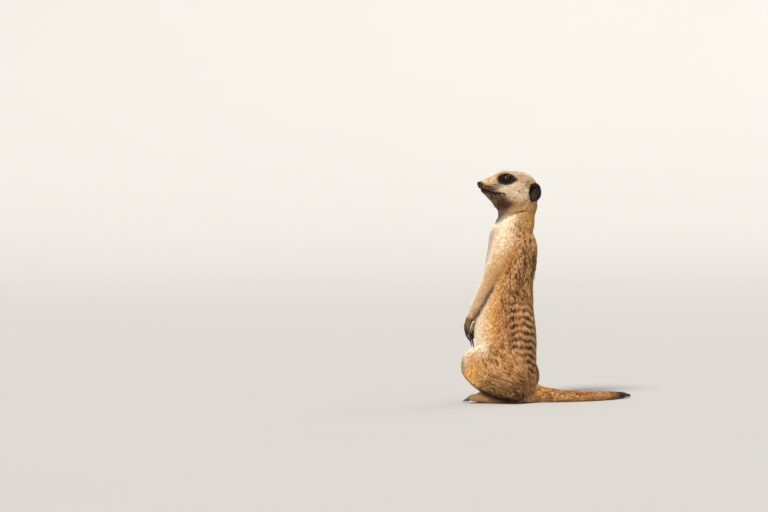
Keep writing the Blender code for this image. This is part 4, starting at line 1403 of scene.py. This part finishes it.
def coat_colour(paint, shared, own):
    """The coat's colour from the markings kept on the mesh; shared and own vary it by lock and by hair."""
    colours = settings("colours")
    cream, fleck, band = paint.parts(paint.kept("marks"))
    rust, black, grey = paint.parts(paint.kept("tints"))
    blend = shared * 0.8 + own * 0.2
    colour = paint.mix(colours.gold, colours.cream, cream)
    colour = paint.mix(colour, colours.rust, rust * paint.rise(blend, 0.1, 0.75, 0.35, 1.0))
    colour = paint.mix(colour, colours.grey, grey * paint.rise(own, 0.0, 1.0, 0.6, 1.0))
    pale = paint.mix(colours.cream, colours.gold, 0.66)
    ruddy = paint.mix(colours.brown, colours.rust, 0.13)
    colour = paint.mix(colour, pale, fleck * paint.rise(blend, 0.54, 0.38) * 0.9)
    colour = paint.mix(colour, ruddy, fleck * paint.rise(blend, 0.57, 0.66))
    dark = paint.mix(colours.brown, colours.black, paint.rise(band, 0.6, 1.0) * 0.8)
    colour = paint.mix(colour, dark, band * paint.rise(own, 0.0, 0.4, 0.85, 1.05))
    return paint.mix(colour, colours.black, black)


def toned(paint, colour, tone):
    """The colour made lighter or darker by a tone that also carries painted shade; the darker, the redder, as
    shade in warm fur.
    """
    scale = paint.add("ShaderNodeCombineXYZ", inputs=[tone, tone**1.26, tone**1.6])
    return paint.mix(colour, scale, 1.0, "MULTIPLY")


def coat_finish():
    """Fur: paler towards the tip, darker at the root, partly its darker underfur and partly painted shade
    deep in the coat, each lock and hair a little different.
    """
    paint = Paint("coat")
    along, shared, own = paint.parts(paint.kept("grain"))
    cream, fleck, _ = paint.parts(paint.kept("marks"))
    colour = coat_colour(paint, shared, own)
    mottle = paint.rise(paint.noise(0.0035, detail=1.0), 0.3, 0.7, 0.93, 1.07)
    # Through own the tone is also lower at the borders of locks, as painted shade in the gaps between them.
    uneven = 1.3 - (1 - own) * 0.28 - (1 - shared) * (0.3 + 0.16 * fleck - 0.18 * cream)
    # Darker towards the root: partly darker underfur, partly painted shade deep in the coat.
    tone = paint.rise(along, 0.0, 0.9, 0.56 + 0.26 * cream, 1.12) * uneven * mottle
    return paint.finish(base_color=toned(paint, colour, tone), roughness=0.6, specular_ior_level=0.2)


def skin_finish():
    """Short fur and skin under the coat, with the same markings made darker, partly as darker underfur and
    partly as painted shade deep in the coat, and a fine hair pattern.
    """
    paint = Paint("skin")
    place = paint.place()
    shared, own = paint.noise(0.004, place, 2.0), paint.noise(0.0009, place, 2.0)
    spread = [paint.rise(value, 0.3, 0.7) for value in (shared, own)]
    colour = coat_colour(paint, *spread)
    # Darker than the coat: partly darker underfur, partly painted shade deep in the coat.
    colour = toned(paint, colour, paint.rise(own, 0.3, 0.7, 0.62, 0.92))
    return paint.finish(
        base_color=colour, roughness=0.7, specular_ior_level=0.25,
        normal=paint.bump(own, settings("skin").bump, 0.8),
    )  # fmt: skip


def eye_finish():
    """Wet dark eye: a wide pupil in a streaked brown iris with a black rim."""
    paint, colours = Paint("eye_wet"), settings("colours")
    across, up, _ = paint.parts(paint.kept("gaze"))
    pupil = ((across / 0.34) ** 2.0 + (up / 0.24) ** 2.0) ** 0.5
    ring = (across * across + up * up) ** 0.5
    streaks = paint.noise(0.12, paint.kept("gaze"), 4.0)
    iris = paint.mix(colours.iris, colours.black, paint.rise(streaks, 0.35, 0.7) * 0.6)
    iris = paint.mix(iris, colours.black, paint.rise(ring, 0.5, 0.66))
    colour = paint.mix(tuple(0.3 * c for c in colours.black), iris, paint.rise(pupil, 0.9, 1.1))
    return paint.finish(base_color=colour, roughness=0.17, specular_ior_level=0.38)


def nose_finish():
    """Moist black skin, finely pebbled."""
    paint, colours = Paint("nose_moist"), settings("colours")
    pebbles = paint.add("ShaderNodeTexVoronoi", {}, {"Vector": paint.place(), "Scale": 1600.0}, "Distance")
    pit = paint.add("ShaderNodeAttribute", {"attribute_name": "pit"}, output="Fac")
    colour = paint.mix(colours.nose, colours.grey, paint.rise(paint.noise(0.002), 0.55, 0.8) * 0.12)
    # Painted shade: the nostrils' pits are darker.
    colour = paint.mix(colour, tuple(0.2 * c for c in colours.black), pit)
    return paint.finish(
        base_color=colour, roughness=paint.rise(pebbles, 0.1, 0.6, 0.36, 0.58), specular_ior_level=0.3,
        normal=paint.bump(pebbles, 0.00012, 0.7),
    )  # fmt: skip


def claw_finish():
    """Dark horn, ridged and a little paler in streaks."""
    paint, colours = Paint("claw_horn"), settings("colours")
    streaks = paint.noise(0.0008, detail=4.0)
    colour = paint.mix(colours.black, colours.claw, paint.rise(streaks, 0.35, 0.65))
    return paint.finish(base_color=colour, roughness=0.38, normal=paint.bump(streaks, 0.0001, 0.5))


def whisker_finish():
    """Stiff dark hair."""
    paint, colours = Paint("whisker"), settings("colours")
    colour = paint.mix(colours.black, colours.brown, paint.noise(0.004))
    return paint.finish(base_color=colour, roughness=0.4)


# -------------------------------------------------------------------------------- stage

FRAME_RIGHT, FRAME_UP = -0.1653, 0.1774  # from the body's origin to the middle of the picture, in metres
BOWL_FLAT, BOWL_CURVE, BOWL_STEPS = 5.0, 2.6, 8  # the floor is flat this far out, and then curves up
FLOOR_LEVEL = -0.0003


def bowl():
    """The floor as a mesh: a flat disc whose edge curves up and runs on as a wall."""
    rings = [(1.0, 0), (3.0, 0), (BOWL_FLAT, 0)]
    for turn in np.radians(np.linspace(0, 80, BOWL_STEPS + 1)[1:]):
        rings.append((BOWL_FLAT + BOWL_CURVE * math.sin(turn), BOWL_CURVE * (1 - math.cos(turn))))
    bpy.ops.object.select_all(action="DESELECT")
    bpy.ops.mesh.primitive_circle_add(vertices=128, radius=rings[0][0], fill_type="NGON", location=(0, 0, 0))
    floor = bpy.context.active_object
    floor.name = floor.data.name = "floor"
    bpy.ops.object.mode_set(mode="EDIT")
    bpy.ops.mesh.select_mode(type="EDGE")
    bpy.ops.mesh.select_all(action="SELECT")
    bpy.ops.mesh.region_to_loop()
    for (inner, low), (outer, high) in zip(rings, rings[1:]):
        bpy.ops.mesh.extrude_edges_move(TRANSFORM_OT_translate={"value": (0, 0, high - low)})
        bpy.ops.transform.resize(value=(outer / inner, outer / inner, 1), center_override=(0, 0, 0))
    bpy.ops.object.mode_set(mode="OBJECT")
    smooth_shaded(floor)
    floor.data.transform(Matrix.Translation((0, 0, FLOOR_LEVEL)))
    return floor


class MEERKAT_OT_stage(bpy.types.Operator):
    """Sets the floor, the lights and the camera"""

    bl_idname = "meerkat.stage"
    bl_label = "Stage"

    def execute(self, context):
        stage, colours, scene = settings("stage"), settings("colours"), context.scene
        floor, paint = bowl(), Paint("floor_paint")
        colour = paint.mix(colours.floor, tuple(c * 0.97 for c in colours.floor), paint.noise(0.4))
        floor.data.materials.append(paint.finish(base_color=colour, roughness=0.85, specular_ior_level=0.1))

        scene.view_settings.view_transform = "Standard"
        scene.world = scene.world or bpy.data.worlds.new("studio")
        scene.world.use_nodes = True
        background = scene.world.node_tree.nodes["Background"]
        background.inputs["Color"].default_value = (*shade(246, 244, 240), 1)
        background.inputs["Strength"].default_value = stage.sky

        angle, rise = math.radians(stage.azimuth), math.radians(stage.elevation)
        back = Vector((math.sin(angle) * math.cos(rise), -math.cos(angle) * math.cos(rise), math.sin(rise)))
        turn = back.to_track_quat("Z", "Y")
        right, above = turn @ Vector((1, 0, 0)), turn @ Vector((0, 1, 0))
        target = Vector(BODY_ORIGIN) + right * FRAME_RIGHT + above * FRAME_UP
        bpy.ops.object.camera_add(location=target + back * stage.distance, rotation=turn.to_euler())
        scene.camera = context.active_object
        scene.camera.data.lens = stage.lens
        scene.camera.data.sensor_width = 36
        scene.camera.data.clip_start = 0.05

        for name, way, softness, strength in (
            ("key", back * 0.9 - right * 0.42 + UP * 0.84, 14, stage.key),
            ("fill", back * 0.8 + right * 0.9 + UP * 0.35, 50, stage.fill),
            ("rim", right * 0.7 - back * 0.8 + UP * 1.0, 30, stage.rim),
        ):
            aim = way.to_track_quat("Z", "Y").to_euler()
            bpy.ops.object.light_add(type="SUN", location=target + way, rotation=aim)
            light = context.active_object
            light.name = name
            light.data.angle = math.radians(softness)
            light.data.energy = strength
        return {"FINISHED"}


# -------------------------------------------------------------------------------- add-on


class MEERKAT_PT_panel(bpy.types.Panel):
    """The meerkat's sizes and colours, and a button for each step"""

    bl_idname = "MEERKAT_PT_panel"
    bl_label = "Meerkat"
    bl_space_type = "VIEW_3D"
    bl_region_type = "UI"
    bl_category = "Meerkat"

    def draw(self, context):
        for operator in OPERATORS:
            self.layout.operator(operator.bl_idname)
        for name in GROUPS_OF_SETTINGS:
            box = self.layout.box()
            box.label(text=name.capitalize())
            for field in settings(name).bl_rna.properties.keys():
                if field not in ("rna_type", "name"):
                    box.prop(settings(name), field)


GROUPS_OF_SETTINGS = {
    "skin": MeerkatSkin, "coat": MeerkatCoat, "colours": MeerkatColours, "stage": MeerkatStage,
}  # fmt: skip
OPERATORS = (
    MEERKAT_OT_skin, MEERKAT_OT_coat, MEERKAT_OT_eyes, MEERKAT_OT_nose, MEERKAT_OT_claws, MEERKAT_OT_whiskers,
    MEERKAT_OT_stage,
)  # fmt: skip


def register():
    for cls in (*GROUPS_OF_SETTINGS.values(), *OPERATORS, MEERKAT_PT_panel):
        bpy.utils.register_class(cls)
    for name, group in GROUPS_OF_SETTINGS.items():
        setattr(bpy.types.Scene, f"meerkat_{name}", bpy.props.PointerProperty(type=group))


def unregister():
    for name in GROUPS_OF_SETTINGS:
        delattr(bpy.types.Scene, f"meerkat_{name}")
    for cls in reversed((*GROUPS_OF_SETTINGS.values(), *OPERATORS, MEERKAT_PT_panel)):
        bpy.utils.unregister_class(cls)


def main():
    register()
    bpy.ops.meerkat.skin()
    bpy.ops.meerkat.coat()
    bpy.ops.meerkat.eyes()
    bpy.ops.meerkat.nose()
    bpy.ops.meerkat.claws()
    bpy.ops.meerkat.whiskers()
    bpy.ops.meerkat.stage()


if __name__ == "__main__":
    main()
